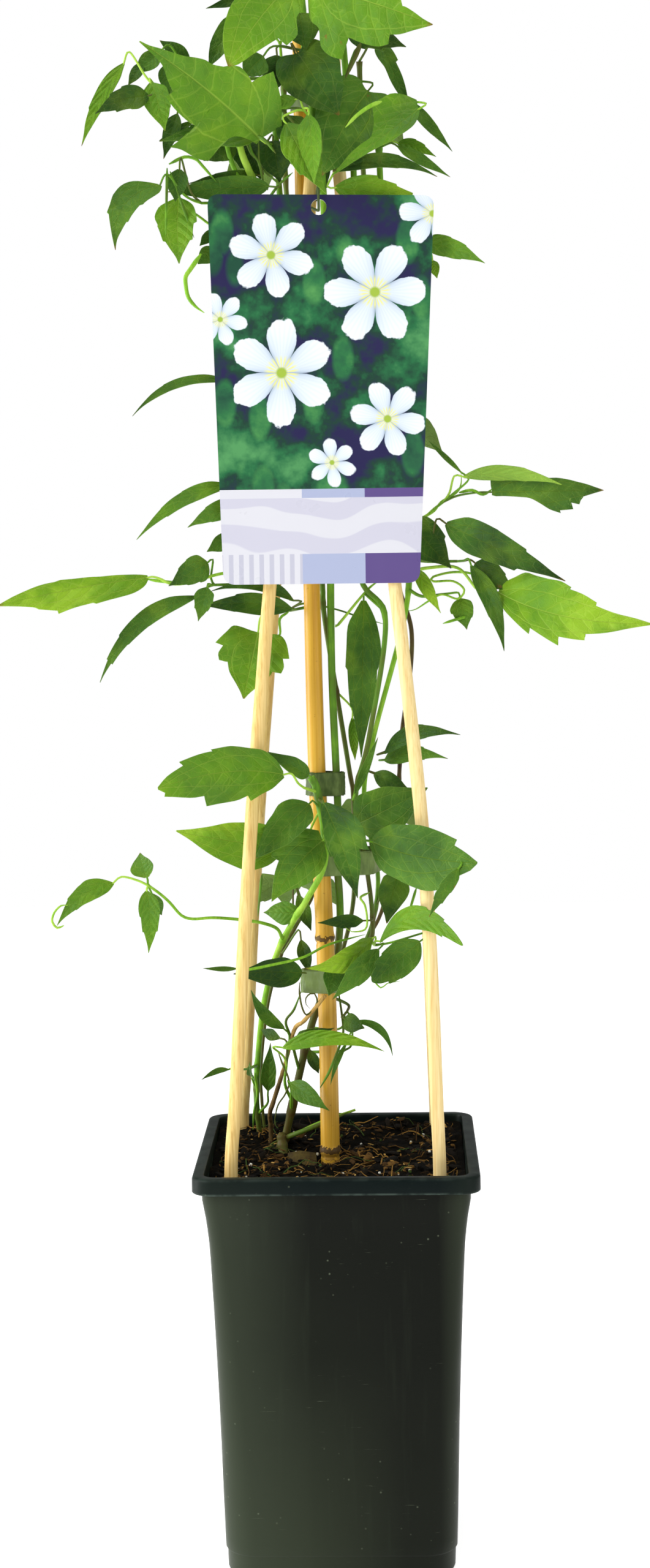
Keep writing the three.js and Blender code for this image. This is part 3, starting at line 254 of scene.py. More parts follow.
def leaf_material():
    s = Shader("leaf", Specular_IOR_Level=0.14)
    along, across, _ = s.split(s.add("UVMap", settings={"uv_map": "place"}))
    far_side = s.calc("GREATER_THAN", across, 0.5)
    across = s.calc("ABSOLUTE", s.span(across, 0, 1, -1, 1))
    tone, chance, under = s.painted()
    here = s.here()
    wobble = s.swing(s.cloud(here, 160), -0.02, 0.02)
    arc = s.calc("SINE", s.times(s.calc("POWER", along, 0.75), math.pi))

    def vein(distance, width):
        return s.span(s.calc("ABSOLUTE", distance), 0, width, 1, 0)

    rib = vein(across, s.span(along, 0, 1, 0.036, 0.01))
    away = s.plus(s.minus(across, s.times(arc, ARC_VEIN_REACH)), wobble)
    mains = s.most(rib, s.times(vein(away, 0.026), 0.7))
    # Veins that leave the rib in turn to each side, more upright as they near the margin.
    slant = s.minus(along, s.times(s.calc("POWER", across, 1.3), 0.3))
    slant = s.plus(slant, s.times(wobble, 0.35))
    order = s.plus(s.calc("DIVIDE", slant, VEIN_SPACING), s.times(far_side, 0.4))
    away = s.minus(s.calc("FRACT", order), 0.5)
    pillow = s.span(s.calc("ABSOLUTE", away), 0, 0.5)
    mains = s.most(mains, s.times(vein(away, 0.07), 0.42))
    bent = s.add("VectorMath", settings={"operation": "MULTIPLY_ADD"})
    warp = bent.node
    s.put(warp.inputs[0], s.add("TexNoise", "Color", Vector=here, Scale=90.0))
    warp.inputs[1].default_value = (0.005, 0.005, 0.005)
    s.put(warp.inputs[2], here)

    def net(scale, width):
        edges = {"feature": "DISTANCE_TO_EDGE"}
        cells = s.add("TexVoronoi", settings=edges, Vector=bent, Scale=scale)
        return s.span(cells, 0, width, 1, 0)

    veins = s.most(mains, s.times(net(170.0, 0.045), 0.34))
    veins = s.most(veins, s.times(net(560.0, 0.1), 0.12))

    # A leaflet's tone holds painted light and shade as well as its own green.
    level = s.plus(tone, s.swing(s.cloud(here, 38, 4), -0.2, 0.2))
    level = s.plus(level, s.span(chance, 0, 1, -0.06, 0.06))
    # Painted light and shade along a leaflet: dark leaves are painted darker towards their tips,
    # and bright ones painted lighter there, where they catch the light.
    rise = s.times(s.span(tone, 0.36, 0.88, -0.14, 0.26), s.span(along, 0, 1, -0.5, 0.5))
    level = s.plus(level, rise)
    # Painted shade: the blade is painted a little darker midway between its side veins, where it
    # domes, and lighter beside them.
    level = s.plus(level, s.span(pillow, 0, 1, 0.015, -0.025))
    colour = s.ramp(level, [(0.0, 32, 62, 16), (0.2, 50, 88, 22), (0.45, 72, 114, 30),
                            (0.7, 88, 134, 24), (0.9, 106, 148, 24), (1.0, 130, 168, 34)])
    yellow = s.times(s.span(s.cloud(here, 60, 2), 0.5, 0.66), s.span(along, 0, 0.7, 0.5, 0.15))
    colour = s.mix(yellow, colour, s.wash(colour, 0.5, 140, 172, 26))
    pale = s.wash(colour, 0.5, 142, 172, 88)
    colour = s.mix(s.times(under, 0.7), colour, pale)
    light = s.wash(colour, s.span(level, 0.1, 0.9, 0.16, 0.55), 182, 210, 82)
    colour = s.mix(s.times(veins, 0.8), colour, light)
    tip = s.times(s.span(along, 0.95, 1), s.span(chance, 0.6, 0.8))
    spots = s.span(s.cloud(here, 95, 5), 0.69, 0.72, 0, 0.7)
    worn = s.most(tip, s.times(spots, s.span(chance, 0.7, 0.9)))
    colour = s.wash(colour, worn, 120, 88, 36)
    gloss = s.swing(s.cloud(here, 150), 0.42, 0.58)
    gloss = s.plus(gloss, s.times(under, 0.2))
    folds = s.plus(s.cloud(here, 110, 3), s.times(s.cloud(here, 48, 2), 1.5))
    height = s.plus(folds, s.times(pillow, s.span(level, 0.3, 0.8, 0.06, 0.6)))
    height = s.minus(height, s.times(veins, 0.45))
    return s.finish(colour, gloss, height, 0.0014, 0.6)


def stem_material():
    s = Shader("stem", Specular_IOR_Level=0.18)
    tone = s.painted()[0]
    grain = s.cloud(s.stretched((1, 1, 0.08)), 900, 3)
    level = s.plus(tone, s.swing(grain, -0.07, 0.07))
    level = s.plus(level, s.swing(s.cloud(s.here(), 70), -0.12, 0.12))
    colour = s.ramp(level, [(0.0, 44, 30, 15), (0.2, 78, 66, 26), (0.4, 82, 92, 34),
                            (0.6, 82, 126, 32), (0.8, 116, 168, 36), (1.0, 160, 198, 70)])
    return s.finish(colour, s.swing(grain, 0.45, 0.6), grain, 0.0003, 0.4)


def pot_material():
    s = Shader("pot", Specular_IOR_Level=0.08)
    here = s.here()
    x, _, z = s.split(here)
    streaks = s.cloud(s.stretched((1, 1, 0.05)), 190, 4)
    cloudy = s.cloud(here, 14, 5)
    colour = s.ramp(s.swing(cloudy), [(0, 17, 21, 13), (1, 25, 30, 19)])
    # Painted light and shade on the pot, and its lighter foot.
    for axis, low, high, start, end, *over in POT_PAINTED_SHADING:
        place = {"x": x, "z": z}[axis]
        colour = s.wash(colour, s.span(place, low * MM, high * MM, start, end), *over)
    colour = s.wash(colour, s.span(streaks, 0.58, 0.78, 0, 0.1), 56, 66, 50)
    colour = s.wash(colour, s.span(z, 0.181, 0.183, 0, 0.8), 7, 18, 18)
    # Painted highlights: thin light lines along the rim's lower edge and, fainter, its upper edge,
    # broken up by a cloud.
    rim_highlight = s.times(s.span(z, 0.1822, 0.1826), s.span(z, 0.183, 0.1836, 1, 0))
    rim_highlight = s.most(rim_highlight, s.times(s.span(z, 0.1885, 0.1893), 0.3))
    rim_highlight = s.times(rim_highlight, s.span(s.cloud(here, 120, 4), 0.42, 0.6, 0.04, 0.3))
    colour = s.wash(colour, rim_highlight, 96, 112, 102)
    specks = s.add("TexVoronoi", Vector=here, Scale=210.0)
    dust = s.times(s.span(specks, 0.05, 0.12, 1, 0), s.span(s.cloud(here, 30), 0.52, 0.6))
    across = s.add("Mapping", Vector=here, Scale=(14, 14, 300), Rotation=(0.35, 0.2, 0))
    scratch = s.times(s.span(s.cloud(across, 5, 6, 0.7), 0.66, 0.7),
                      s.span(s.cloud(here, 22), 0.5, 0.62))
    worn = s.most(s.times(dust, 0.5), s.times(scratch, 0.4))
    colour = s.wash(colour, worn, 104, 112, 92)
    gloss = s.swing(s.cloud(here, 40, 5), 0.36, 0.48)
    gloss = s.plus(gloss, s.times(worn, 0.3))
    height = s.plus(s.cloud(here, 700, 2), s.times(scratch, 0.6))
    return s.finish(colour, gloss, height, 0.00012, 0.35)


def soil_material():
    s = Shader("soil", Specular_IOR_Level=0.08, Roughness=0.95)
    crumb = s.cloud(s.here(), 260, 6, 0.7)
    colour = s.ramp(crumb, [(0.3, 4, 3, 2), (0.54, 10, 8, 4), (0.66, 32, 23, 9), (0.75, 10, 8, 4)])
    return s.finish(colour, None, crumb, 0.0015, 0.8)


def crumb_material():
    """Bark, straw, moss and grit: dark at 0, straw at 0.6, moss at 0.8 and white grit at 1."""
    s = Shader("crumb", Specular_IOR_Level=0.12, Roughness=0.85)
    tone = s.painted()[0]
    grain = s.cloud(s.here(), 900, 4)
    level = s.plus(tone, s.swing(grain, -0.05, 0.05))
    colour = s.ramp(level, [(0.0, 8, 6, 3), (0.2, 26, 19, 9), (0.4, 82, 57, 24),
                            (0.6, 164, 124, 58), (0.7, 192, 160, 96), (0.76, 52, 70, 30),
                            (0.85, 72, 96, 42), (0.92, 206, 200, 178), (1.0, 226, 224, 212)])
    colour = s.wash(colour, s.span(grain, 0.5, 0.7, 0, 0.4), 30, 22, 12)
    return s.finish(colour, None, grain, 0.0005, 0.6)


def stake_material():
    """Split wood, from tan at a paint of 0 to cream at 1."""
    s = Shader("stake", Specular_IOR_Level=0.15)
    tone = s.painted()[0]
    fibres = s.cloud(s.stretched((1, 1, 0.012)), 1100, 4, 0.6)
    broad = s.cloud(s.stretched((1, 1, 0.02)), 330, 3)
    cream = s.ramp(fibres, [(0.3, 216, 186, 122), (0.45, 232, 208, 148), (0.65, 240, 220, 166)])
    tan = s.ramp(fibres, [(0.3, 186, 148, 78), (0.45, 212, 178, 104), (0.65, 228, 198, 128)])
    colour = s.mix(tone, tan, cream)
    colour = s.wash(colour, s.span(broad, 0.5, 0.7, 0, 0.5), 202, 158, 92)
    flecks = s.span(s.cloud(s.stretched((1, 1, 0.2)), 420, 5), 0.71, 0.77)
    colour = s.wash(colour, s.times(flecks, 0.6), 134, 96, 50)
    return s.finish(colour, s.swing(fibres, 0.68, 0.5), fibres, 0.0003, 0.5)


def cane_material():
    s = Shader("cane", Specular_IOR_Level=0.3, Coat_Weight=0.1, Coat_Roughness=0.25)
    here = s.here()
    z = s.split(here)[2]
    fibres = s.cloud(s.stretched((1, 1, 0.012)), 800, 4, 0.6)
    broad = s.cloud(s.stretched((1, 1, 0.05)), 150, 3)
    colour = s.ramp(fibres, [(0.3, 178, 130, 30), (0.5, 206, 158, 46), (0.7, 218, 176, 68)])
    colour = s.wash(colour, s.span(broad, 0.45, 0.75, 0, 0.55), 196, 138, 38)
    edge = s.swing(s.cloud(here, 380), -0.0012, 0.0012)
    rough_z = s.plus(z, edge)
    dark = None
    for foot, top, strength in CANE_BANDS:
        half = (top - foot) / 2 * MM
        away = s.calc("ABSOLUTE", s.minus(rough_z, (foot + top) / 2 * MM))
        ring = s.span(away, half * 0.8, half, strength, 0)
        dark = ring if dark is None else s.most(dark, ring)
    colour = s.wash(colour, dark, 46, 29, 11)
    specks = s.span(s.cloud(here, 520, 4), 0.69, 0.75, 0, 0.5)
    colour = s.wash(colour, specks, 110, 70, 20)
    gloss = s.plus(s.swing(fibres, 0.45, 0.34), s.times(dark, 0.4))
    return s.finish(colour, gloss, s.plus(fibres, dark), 0.0003, 0.4)


def twig_material():
    s = Shader("twig", Specular_IOR_Level=0.2, Roughness=0.8)
    z = s.split(s.here())[2]
    bark = s.cloud(s.stretched((1, 1, 0.1)), 700, 5)
    low = s.ramp(bark, [(0.3, 64, 50, 24), (0.7, 112, 88, 46)])
    high = s.ramp(bark, [(0.3, 148, 114, 54), (0.7, 206, 170, 98)])
    return s.finish(s.mix(s.span(z, 0.215, 0.245), low, high), None, bark, 0.0004, 0.7)


def tape_material():
    s = Shader("tape", Specular_IOR_Level=0.25)
    creases = s.cloud(s.stretched((1, 1, 0.3)), 420, 4)
    tone = s.painted()[0]
    level = s.plus(tone, s.swing(creases, -0.12, 0.12))
    colour = s.ramp(level, [(0.0, 20, 36, 18), (0.4, 66, 84, 38), (0.7, 112, 132, 72),
                            (1.0, 134, 150, 112)])
    return s.finish(colour, s.swing(creases, 0.4, 0.6), creases, 0.0004, 0.5)


def add_blossom(s, picture, x, z, place, radius, turn):
    """A blossom over a picture: six rounded petals with fine folds, a yellow heart and an eye."""
    away_x = s.minus(x, place[0] * MM)
    away_z = s.minus(z, place[1] * MM)
    squares = s.plus(s.calc("POWER", away_x, 2.0), s.calc("POWER", away_z, 2.0))
    distance = s.calc("SQRT", squares)
    angle = s.plus(s.calc("ARCTAN2", away_z, away_x), turn)
    lobe = s.calc("ABSOLUTE", s.calc("COSINE", s.times(angle, 3.0)))
    rounded = s.calc("POWER", lobe, 0.45)
    frill = s.plus(s.swing(s.cloud(s.here(), 260), -0.04, 0.04), 0.22)
    edge = s.times(s.plus(s.times(rounded, 0.78), frill), radius * MM)
    inside = s.span(s.minus(edge, distance), -0.0002, 0.0004)
    depth = s.calc("DIVIDE", distance, radius * MM * 2.2)
    shade = s.ramp(s.plus(s.times(rounded, 0.6), depth), [(0.2, 136, 156, 180),
                                                          (0.6, 196, 208, 220),
                                                          (1.0, 226, 233, 240)])
    folds = s.calc("ABSOLUTE", s.calc("SINE", s.times(angle, 27.0)))
    shade = s.wash(shade, s.span(folds, 0.5, 1, 0, 0.25), 186, 200, 212)
    rays = s.calc("ABSOLUTE", s.calc("SINE", s.times(angle, 11.0)))
    heart = s.times(s.span(distance, radius * 0.24 * MM, radius * 0.34 * MM, 1, 0),
                    s.span(rays, 0.5, 0.8))
    shade = s.wash(shade, s.times(heart, 0.8), 226, 222, 120)
    eye = s.span(distance, radius * 0.08 * MM, radius * 0.12 * MM, 1, 0)
    return s.mix(inside, picture, s.wash(shade, eye, 150, 176, 60))


def label_material():
    """A printed card: white blossoms over leaves, above a strip, a panel and a band."""
    s = Shader("label", Specular_IOR_Level=0.45, Roughness=0.32)
    x, _, z = s.split(s.here())
    low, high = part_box("label")
    up = s.span(z, low.z, high.z)
    right = s.span(x, low.x, high.x)
    blotch = s.cloud(s.here(), 38, 5, 0.6)
    leaning = s.add("Mapping", Vector=s.here(), Scale=(1, 1, 0.5), Rotation=(0, 0.6, 0))
    fronds = s.add("TexVoronoi", "Distance", Vector=leaning, Scale=70.0)
    deep = s.ramp(blotch, [(0.42, 30, 26, 70), (0.5, 18, 56, 42), (0.58, 30, 100, 58),
                           (0.7, 76, 142, 84)])
    leafy = s.ramp(blotch, [(0.35, 20, 74, 46), (0.5, 40, 112, 62), (0.65, 84, 150, 78)])
    picture = s.mix(s.span(fronds, 0.3, 0.4, 0.85, 0), deep, leafy)
    for blossom in BLOSSOMS:
        picture = add_blossom(s, picture, x, z, *blossom)

    def thirds(colours):
        low_stop, high_stop = LABEL_THIRDS
        first = s.mix(s.calc("GREATER_THAN", right, low_stop), colours[0], colours[1])
        return s.mix(s.calc("GREATER_THAN", right, high_stop), first, colours[2])

    white, pale = tint(205, 205, 212), tint(191, 190, 204)
    lilac, purple = tint(161, 169, 197), tint(88, 71, 126)
    swirl = s.add("TexWave", settings={"wave_type": "RINGS"}, Vector=s.here(), Scale=18.0,
                  Distortion=7.0, Detail=1.0, Detail_Scale=1.2)
    panel = s.mix(s.span(swirl, 0.45, 0.55, 0, 1), pale, white)
    bars = s.calc("GREATER_THAN", s.calc("FRACT", s.times(right, 22.0)), 0.55)
    marks = s.wash(white, bars, 182, 182, 196)
    print_colour = picture
    for top, colour in ((LABEL_STRIP, thirds((white, lilac, purple))), (LABEL_PANEL, panel),
                        (LABEL_BAND, thirds((marks, lilac, purple)))):
        print_colour = s.mix(s.calc("LESS_THAN", up, top), print_colour, colour)
    facing = s.split(s.add("TexCoord", "Normal"))[1]
    front = s.calc("LESS_THAN", facing, -0.5)
    sheen = s.swing(s.cloud(s.here(), 60), 0.26, 0.36)
    colour = s.mix(front, tint(244, 244, 240), print_colour)
    return s.finish(colour, sheen, s.cloud(s.here(), 300), 0.0001, 0.1)


# ---- Building blocks ---------------------------------------------------------------------

FULL_TURN = 6.2832
ANY_TURN = (0, 6.28)
PLAIN_PAINT = (0.5, 0.5, 0.0)
# The places of a shoot's two materials.
BLADE, WOODY = 0, 1


class Piece:
    """Gathers points in millimetres, faces, and what its material reads, for one object."""

    def __init__(self, name, materials):
        self.name = name
        self.materials = materials
        self.points, self.faces, self.kinds, self.paint, self.places = [], [], [], [], []
        self.count = 0

    def add(self, points, faces, kind=0, paint=PLAIN_PAINT, places=None):
        points = np.asarray(points, float).reshape(-1, 3)
        self.faces.extend([[self.count + i for i in face] for face in faces])
        self.kinds.extend([kind] * len(faces))
        self.points.append(points)
        self.paint.append(np.broadcast_to(np.asarray(paint, float), (len(points), 3)))
        self.places.append(np.zeros((len(points), 2)) if places is None else places)
        self.count += len(points)

    def place(self, mesh):
        thing = bpy.data.objects.new(self.name, mesh)
        bpy.context.scene.collection.objects.link(thing)
        return thing

    def shape(self):
        mesh = bpy.data.meshes.new(self.name)
        mesh.from_pydata((np.concatenate(self.points) * MM).tolist(), [], self.faces)
        return mesh

    def make(self, slot, *nodes, sharp=50):
        mesh = self.shape()
        for material in self.materials:
            mesh.materials.append(material)
        mesh.polygons.foreach_set("material_index", self.kinds)
        paint = np.ones((self.count, 4), np.float32)
        paint[:, :3] = np.concatenate(self.paint)
        painted = mesh.color_attributes.new("paint", "FLOAT_COLOR", "POINT")
        painted.data.foreach_set("color", paint.ravel())
        corners = np.empty(len(mesh.loops), np.int32)
        mesh.loops.foreach_get("vertex_index", corners)
        places = np.concatenate(self.places)[corners].astype(np.float32)
        mesh.uv_layers.new(name="place").data.foreach_set("uv", places.ravel())
        mesh.shade_smooth()
        mesh.set_sharp_from_angle(angle=math.radians(sharp))
        piece = self.place(mesh)
        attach(piece, "root")
        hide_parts(*nodes)
        return piece


def band_faces(rows, columns, closed):
    """Quads between rows of points. Closed rows join their last point to their first."""
    steps = columns if closed else columns - 1
    return [(r * columns + c, r * columns + (c + 1) % columns,
             (r + 1) * columns + (c + 1) % columns, (r + 1) * columns + c)
            for r in range(rows - 1) for c in range(steps)]


def loft(rings):
    """A stack of rings, each of the same number of points, with closed ends."""
    rings = np.asarray(rings, float)
    rows, columns = rings.shape[:2]
    points = list(rings.reshape(-1, 3))
    faces = band_faces(rows, columns, True)
    last = (rows - 1) * columns
    points.append(rings[0].mean(axis=0))
    faces += [(len(points) - 1, (c + 1) % columns, c) for c in range(columns)]
    points.append(rings[-1].mean(axis=0))
    faces += [(len(points) - 1, last + c, last + (c + 1) % columns) for c in range(columns)]
    return points, faces


def smooth_path(points, step):
    """A smooth path through some points, with a point about every step."""
    points = np.asarray(points, float)
    if len(points) < 2:
        return points
    ends = np.vstack([2 * points[0] - points[1], points, 2 * points[-1] - points[-2]])
    path = []
    for i in range(1, len(ends) - 2):
        a, b, c, d = ends[i - 1:i + 3]
        pieces = max(1, int(round(np.linalg.norm(c - b) / step)))
        for t in np.arange(pieces) / pieces:
            path.append(0.5 * (2 * b + (c - a) * t + (2 * a - 5 * b + 4 * c - d) * t ** 2
                               + (3 * b - a - 3 * c + d) * t ** 3))
    return np.array(path + [points[-1]])


def tube(path, radii, sides, joined=False):
    """Rings about a path that don't turn about it, except to meet where the path is joined."""
    path = np.asarray(path, float)
    if joined:
        ahead = np.roll(path, -1, 0) - np.roll(path, 1, 0)
    else:
        ahead = np.gradient(path, axis=0)
    ahead /= np.linalg.norm(ahead, axis=1)[:, None]
    first = Vector(ahead[0])
    across = Vector((0, 1, 0)).cross(first)
    if across.length < 0.1:
        across = Vector((1, 0, 0))
    across.normalize()
    starts = [across.copy()]
    for before, after in zip(ahead[:-1], ahead[1:]):
        across = Vector(before).rotation_difference(Vector(after)) @ across
        starts.append(across.copy())
    twist = 0.0
    if joined:
        across = Vector(ahead[-1]).rotation_difference(first) @ across
        twist = math.atan2(first.dot(across.cross(starts[0])), across.dot(starts[0]))
    angles = np.arange(sides) / sides * 2 * math.pi
    rings = []
    for i, (point, radius) in enumerate(zip(path, radii)):
        start = np.array(starts[i])
        other = np.cross(ahead[i], start)
        turned = angles + twist * i / len(path)
        circle = np.outer(np.cos(turned), start) + np.outer(np.sin(turned), other)
        rings.append(point + radius * circle)
    return np.array(rings)


def rounded_ends(path, radii, bevel):
    """The path and radii with a small bevel at both ends."""
    first, last = path[0] - path[1], path[-1] - path[-2]
    first = path[0] + first / np.linalg.norm(first) * bevel
    last = path[-1] + last / np.linalg.norm(last) * bevel
    return (np.vstack([first, path, last]),
            np.concatenate([[radii[0] - bevel], radii, [radii[-1] - bevel]]))


def add_rod(piece, path, radii, sides, kind=0, paint=PLAIN_PAINT):
    points, faces = loft(tube(path, radii, sides))
    piece.add(points, faces, kind, paint)


def add_sheet(piece, grid, thickness, kind=0, paint=(0.5, 0.5), places=None, joined=False):
    """A closed sheet about a grid of points. Its second side is its underside."""
    rows, columns = grid.shape[:2]
    along = np.gradient(grid, axis=0)
    if joined:
        across = np.roll(grid, -1, 1) - np.roll(grid, 1, 1)
    else:
        across = np.gradient(grid, axis=1)
    normals = np.cross(across, along)
    normals /= np.maximum(np.linalg.norm(normals, axis=2), 1e-9)[:, :, None]
    top = (grid + normals * thickness / 2).reshape(-1, 3)
    bottom = (grid - normals * thickness / 2).reshape(-1, 3)
    side = band_faces(rows, columns, joined)
    under = rows * columns
    faces = list(side) + [tuple(under + i for i in reversed(face)) for face in side]
    if joined:
        last = under - 1
        edges = [[*range(columns), 0], [*range(last, last - columns, -1), last]]
    else:
        edges = [list(range(columns))
                 + [r * columns + columns - 1 for r in range(1, rows)]
                 + [(rows - 1) * columns + c for c in range(columns - 2, -1, -1)]
                 + [r * columns for r in range(rows - 2, -1, -1)]]
    for edge in edges:
        faces += [(b, a, a + under, b + under) for a, b in zip(edge, edge[1:])]
    points = np.concatenate([top, bottom])
    colours = np.empty((len(points), 3))
    colours[:, :2] = paint
    colours[:under, 2] = 0.0
    colours[under:, 2] = 1.0
    if places is not None:
        places = np.concatenate([places.reshape(-1, 2)] * 2)
    piece.add(points, faces, kind, colours, places)


def along_height(path, height):
    """The point of an upward path at a height."""
    path = np.asarray(path, float)
    above = next((i for i in range(1, len(path)) if path[i][2] >= height), len(path) - 1)
    share = (height - path[above - 1][2]) / (path[above][2] - path[above - 1][2])
    return path[above - 1] + (path[above] - path[above - 1]) * min(1.0, max(0.0, share))


def square_ring(half, corner, height, steps, side_steps):
    """The points of a rounded square, with some steps round each corner and along each side."""
    inset = (half - corner) * math.sqrt(2)

    def at(quarter, angle):
        diagonal = (quarter + 0.5) * math.pi / 2
        return (inset * np.array([math.cos(diagonal), math.sin(diagonal)])
                + corner * np.array([math.cos(angle), math.sin(angle)]))

    ring = []
    for quarter in range(4):
        ring += [at(quarter, (quarter + step / steps) * math.pi / 2) for step in range(steps + 1)]
        end, start = ring[-1], at(quarter + 1, (quarter + 1) * math.pi / 2)
        ring += [end + (start - end) * step / side_steps for step in range(1, side_steps)]
    return np.array([(x, y, height) for x, y in ring])


# ---- Leaves ------------------------------------------------------------------------------

BLADE_THICKNESS = 0.36
BLADE_FOLD = math.radians(13)
BLADE_WAVE = 0.05
BLADE_RIPPLES = 7
BLADE_FRILL = 0.016
BLADE_FRILLS = 23
BLADE_QUILT = 0.012  # how far the blade domes between its veins, as a share of its width
BLADE_COLUMNS = 13
ROW_STEPS = 3
STALK_RADII, STALK_SIDES = (0.85, 0.62), 8
STALKLET_RADII, STALKLET_SIDES = (0.58, 0.42), 7
STALKLET_SUNK = (2.0, 0.12)  # how far it runs on into its blade at most: in mm, and as a share

# Half outlines of a leaflet, from foot to tip, in hundredths: [place of the rib point along the
# midrib, place of the edge point, its distance as a share of the half width], with a 1 after it at
# a tooth or notch. An outline with unlike sides is a pair: the side on the left of its midrib,
# seen from its face, then the right.
SMALL = [[0, 0, 20], [18, 20, 78], [40, 42, 100], [62, 66, 76], [82, 86, 30], [100, 100, 2]]
ENTIRE = [[0, 0, 14], [6, 5, 48], [15, 14, 82], [28, 29, 100], [42, 44, 97], [56, 59, 80],
          [70, 73, 54], [84, 86, 27], [93, 94, 12], [100, 100, 2]]
PLAIN = [[0, 0, 14], [8, 8, 50], [18, 18, 85], [30, 32, 99], [42, 46, 98], [56, 61, 82, 1],
         [60, 63, 75, 1], [72, 76, 50], [87, 88, 21], [100, 100, 2]]
TOOTHED = [[0, 0, 14], [7, 7, 52], [15, 16, 84], [26, 30, 100], [36, 42, 97, 1], [40, 44, 89, 1],
           [52, 56, 80], [60, 67, 70, 1], [64, 68, 58, 1], [76, 79, 37], [88, 90, 15],
           [100, 100, 2]]
BLUNT = [[0, 0, 12], [8, 6, 42], [20, 17, 75], [32, 32, 94], [44, 47, 100], [54, 61, 98, 1],
         [58, 63, 90, 1], [66, 72, 84], [73, 81, 73, 1], [77, 80, 60, 1], [86, 91, 40],
         [95, 98, 18], [100, 100, 4]]
CUT = [[0, 0, 14], [7, 7, 46], [16, 17, 78], [28, 32, 98], [36, 44, 100, 1], [41, 46, 88, 1],
       [50, 56, 82], [57, 66, 76, 1], [62, 67, 60, 1], [70, 76, 50], [77, 85, 40, 1],
       [82, 85, 26, 1], [92, 94, 10], [100, 100, 2]]
HEART = [[0, 0, 16], [3, -6, 45], [8, -3, 72], [16, 10, 92], [28, 26, 100], [42, 43, 97],
         [58, 60, 85], [72, 75, 62], [84, 87, 34], [94, 95, 12], [100, 100, 2]]
LOBED = [[0, 0, 16], [4, -2, 42], [8, -2, 66], [14, 8, 86], [22, 28, 100, 1], [28, 30, 84, 1],
         [36, 42, 88], [44, 52, 82, 1], [50, 52, 62, 1], [60, 66, 52], [76, 79, 30], [88, 90, 14],
         [100, 100, 2]]
# The three great leaves of the head: with a long point, with a blunt end, and with two lobes.
POINTED = ([[0, 0, 10], [4, 6, 13], [8, 15, 23], [13, 21, 44], [17, 23, 79, 1], [22, 31, 94],
            [27, 42, 92], [33, 49, 104, 1], [38, 45, 85], [42, 40, 54, 1], [48, 49, 56],
            [54, 60, 54], [60, 68, 47, 1], [66, 66, 34, 1], [74, 73, 26], [84, 81, 11], [93, 91, 5],
            [100, 100, 1]],
           [[0, -5, 39], [4, 2, 55], [8, 10, 66], [13, 24, 87, 1], [17, 28, 69], [22, 30, 51, 1],
            [27, 34, 59], [33, 42, 57], [38, 48, 52, 1], [42, 50, 42, 1], [48, 56, 37],
            [54, 62, 33], [60, 68, 27], [66, 74, 21], [74, 81, 14], [84, 87, 9], [93, 94, 3],
            [100, 100, 1]])
NOTCHED = ([[0, 0, 12], [5, 4, 27], [13, 15, 66], [22, 27, 90], [31, 38, 110, 1], [36, 39, 95, 1],
            [44, 50, 105], [52, 70, 103, 1], [60, 70, 75, 1], [68, 80, 69], [78, 97, 35, 1],
            [90, 96, 23, 1], [100, 100, 4]],
           [[0, 0, 12], [5, 6, 46], [13, 17, 71], [22, 28, 83], [31, 40, 86], [36, 46, 87],
            [44, 59, 87, 1], [52, 57, 77, 1], [60, 69, 74], [68, 84, 68, 1], [78, 81, 48, 1],
            [90, 93, 30], [100, 100, 4]])
SIDE_TOOTH = ([[0, 0, 12], [6, 5, 34], [14, 16, 72], [24, 28, 96], [34, 42, 104], [42, 54, 105],
               [48, 61, 99, 1], [56, 55, 65, 1], [66, 66, 58], [78, 78, 37], [90, 90, 14],
               [100, 100, 1]],
              [[0, 0, 12], [6, 6, 24], [14, 15, 36], [24, 26, 46], [34, 38, 58], [42, 46, 60],
               [48, 54, 60, 1], [56, 54, 45, 1], [66, 64, 49], [78, 76, 36], [90, 89, 14],
               [100, 100, 1]])
BROAD = ([[0, 0, 12], [5, 4, 22], [12, 12, 50], [20, 22, 72], [30, 36, 80], [38, 46, 78],
          [46, 56, 71], [55, 66, 57], [70, 78, 34], [86, 90, 13], [100, 100, 1]],
         [[0, -6, 40], [5, 4, 79], [12, 15, 108], [20, 30, 121], [30, 45, 118], [38, 54, 108],
          [46, 60, 96, 1], [55, 58, 67, 1], [70, 72, 53], [86, 87, 25], [100, 100, 1]])
END_TOOTH = ([[0, 0, 14], [5, 4, 34], [12, 12, 60], [22, 23, 80], [34, 36, 93], [48, 54, 102],
              [62, 69, 95], [72, 83, 70, 1], [76, 81, 50, 1], [86, 90, 34], [100, 100, 3]],
             [[0, 0, 14], [5, 3, 30], [12, 9, 53], [22, 20, 74], [34, 35, 87], [48, 52, 99],
              [62, 67, 102], [72, 84, 78, 1], [76, 87, 46, 1], [86, 96, 26, 1], [100, 100, 3]])
BLUNT_END = ([[0, -4, 30], [8, 5, 54], [16, 15, 72], [24, 27, 83], [31, 41, 106], [40, 55, 112, 1],
              [56, 54, 71, 1], [76, 76, 46], [90, 93, 24], [100, 100, 2]],
             [[0, -3, 30], [8, 8, 66], [16, 17, 80], [24, 26, 89], [31, 34, 92], [40, 45, 92],
              [56, 63, 86], [76, 84, 60], [90, 95, 28], [100, 100, 2]])
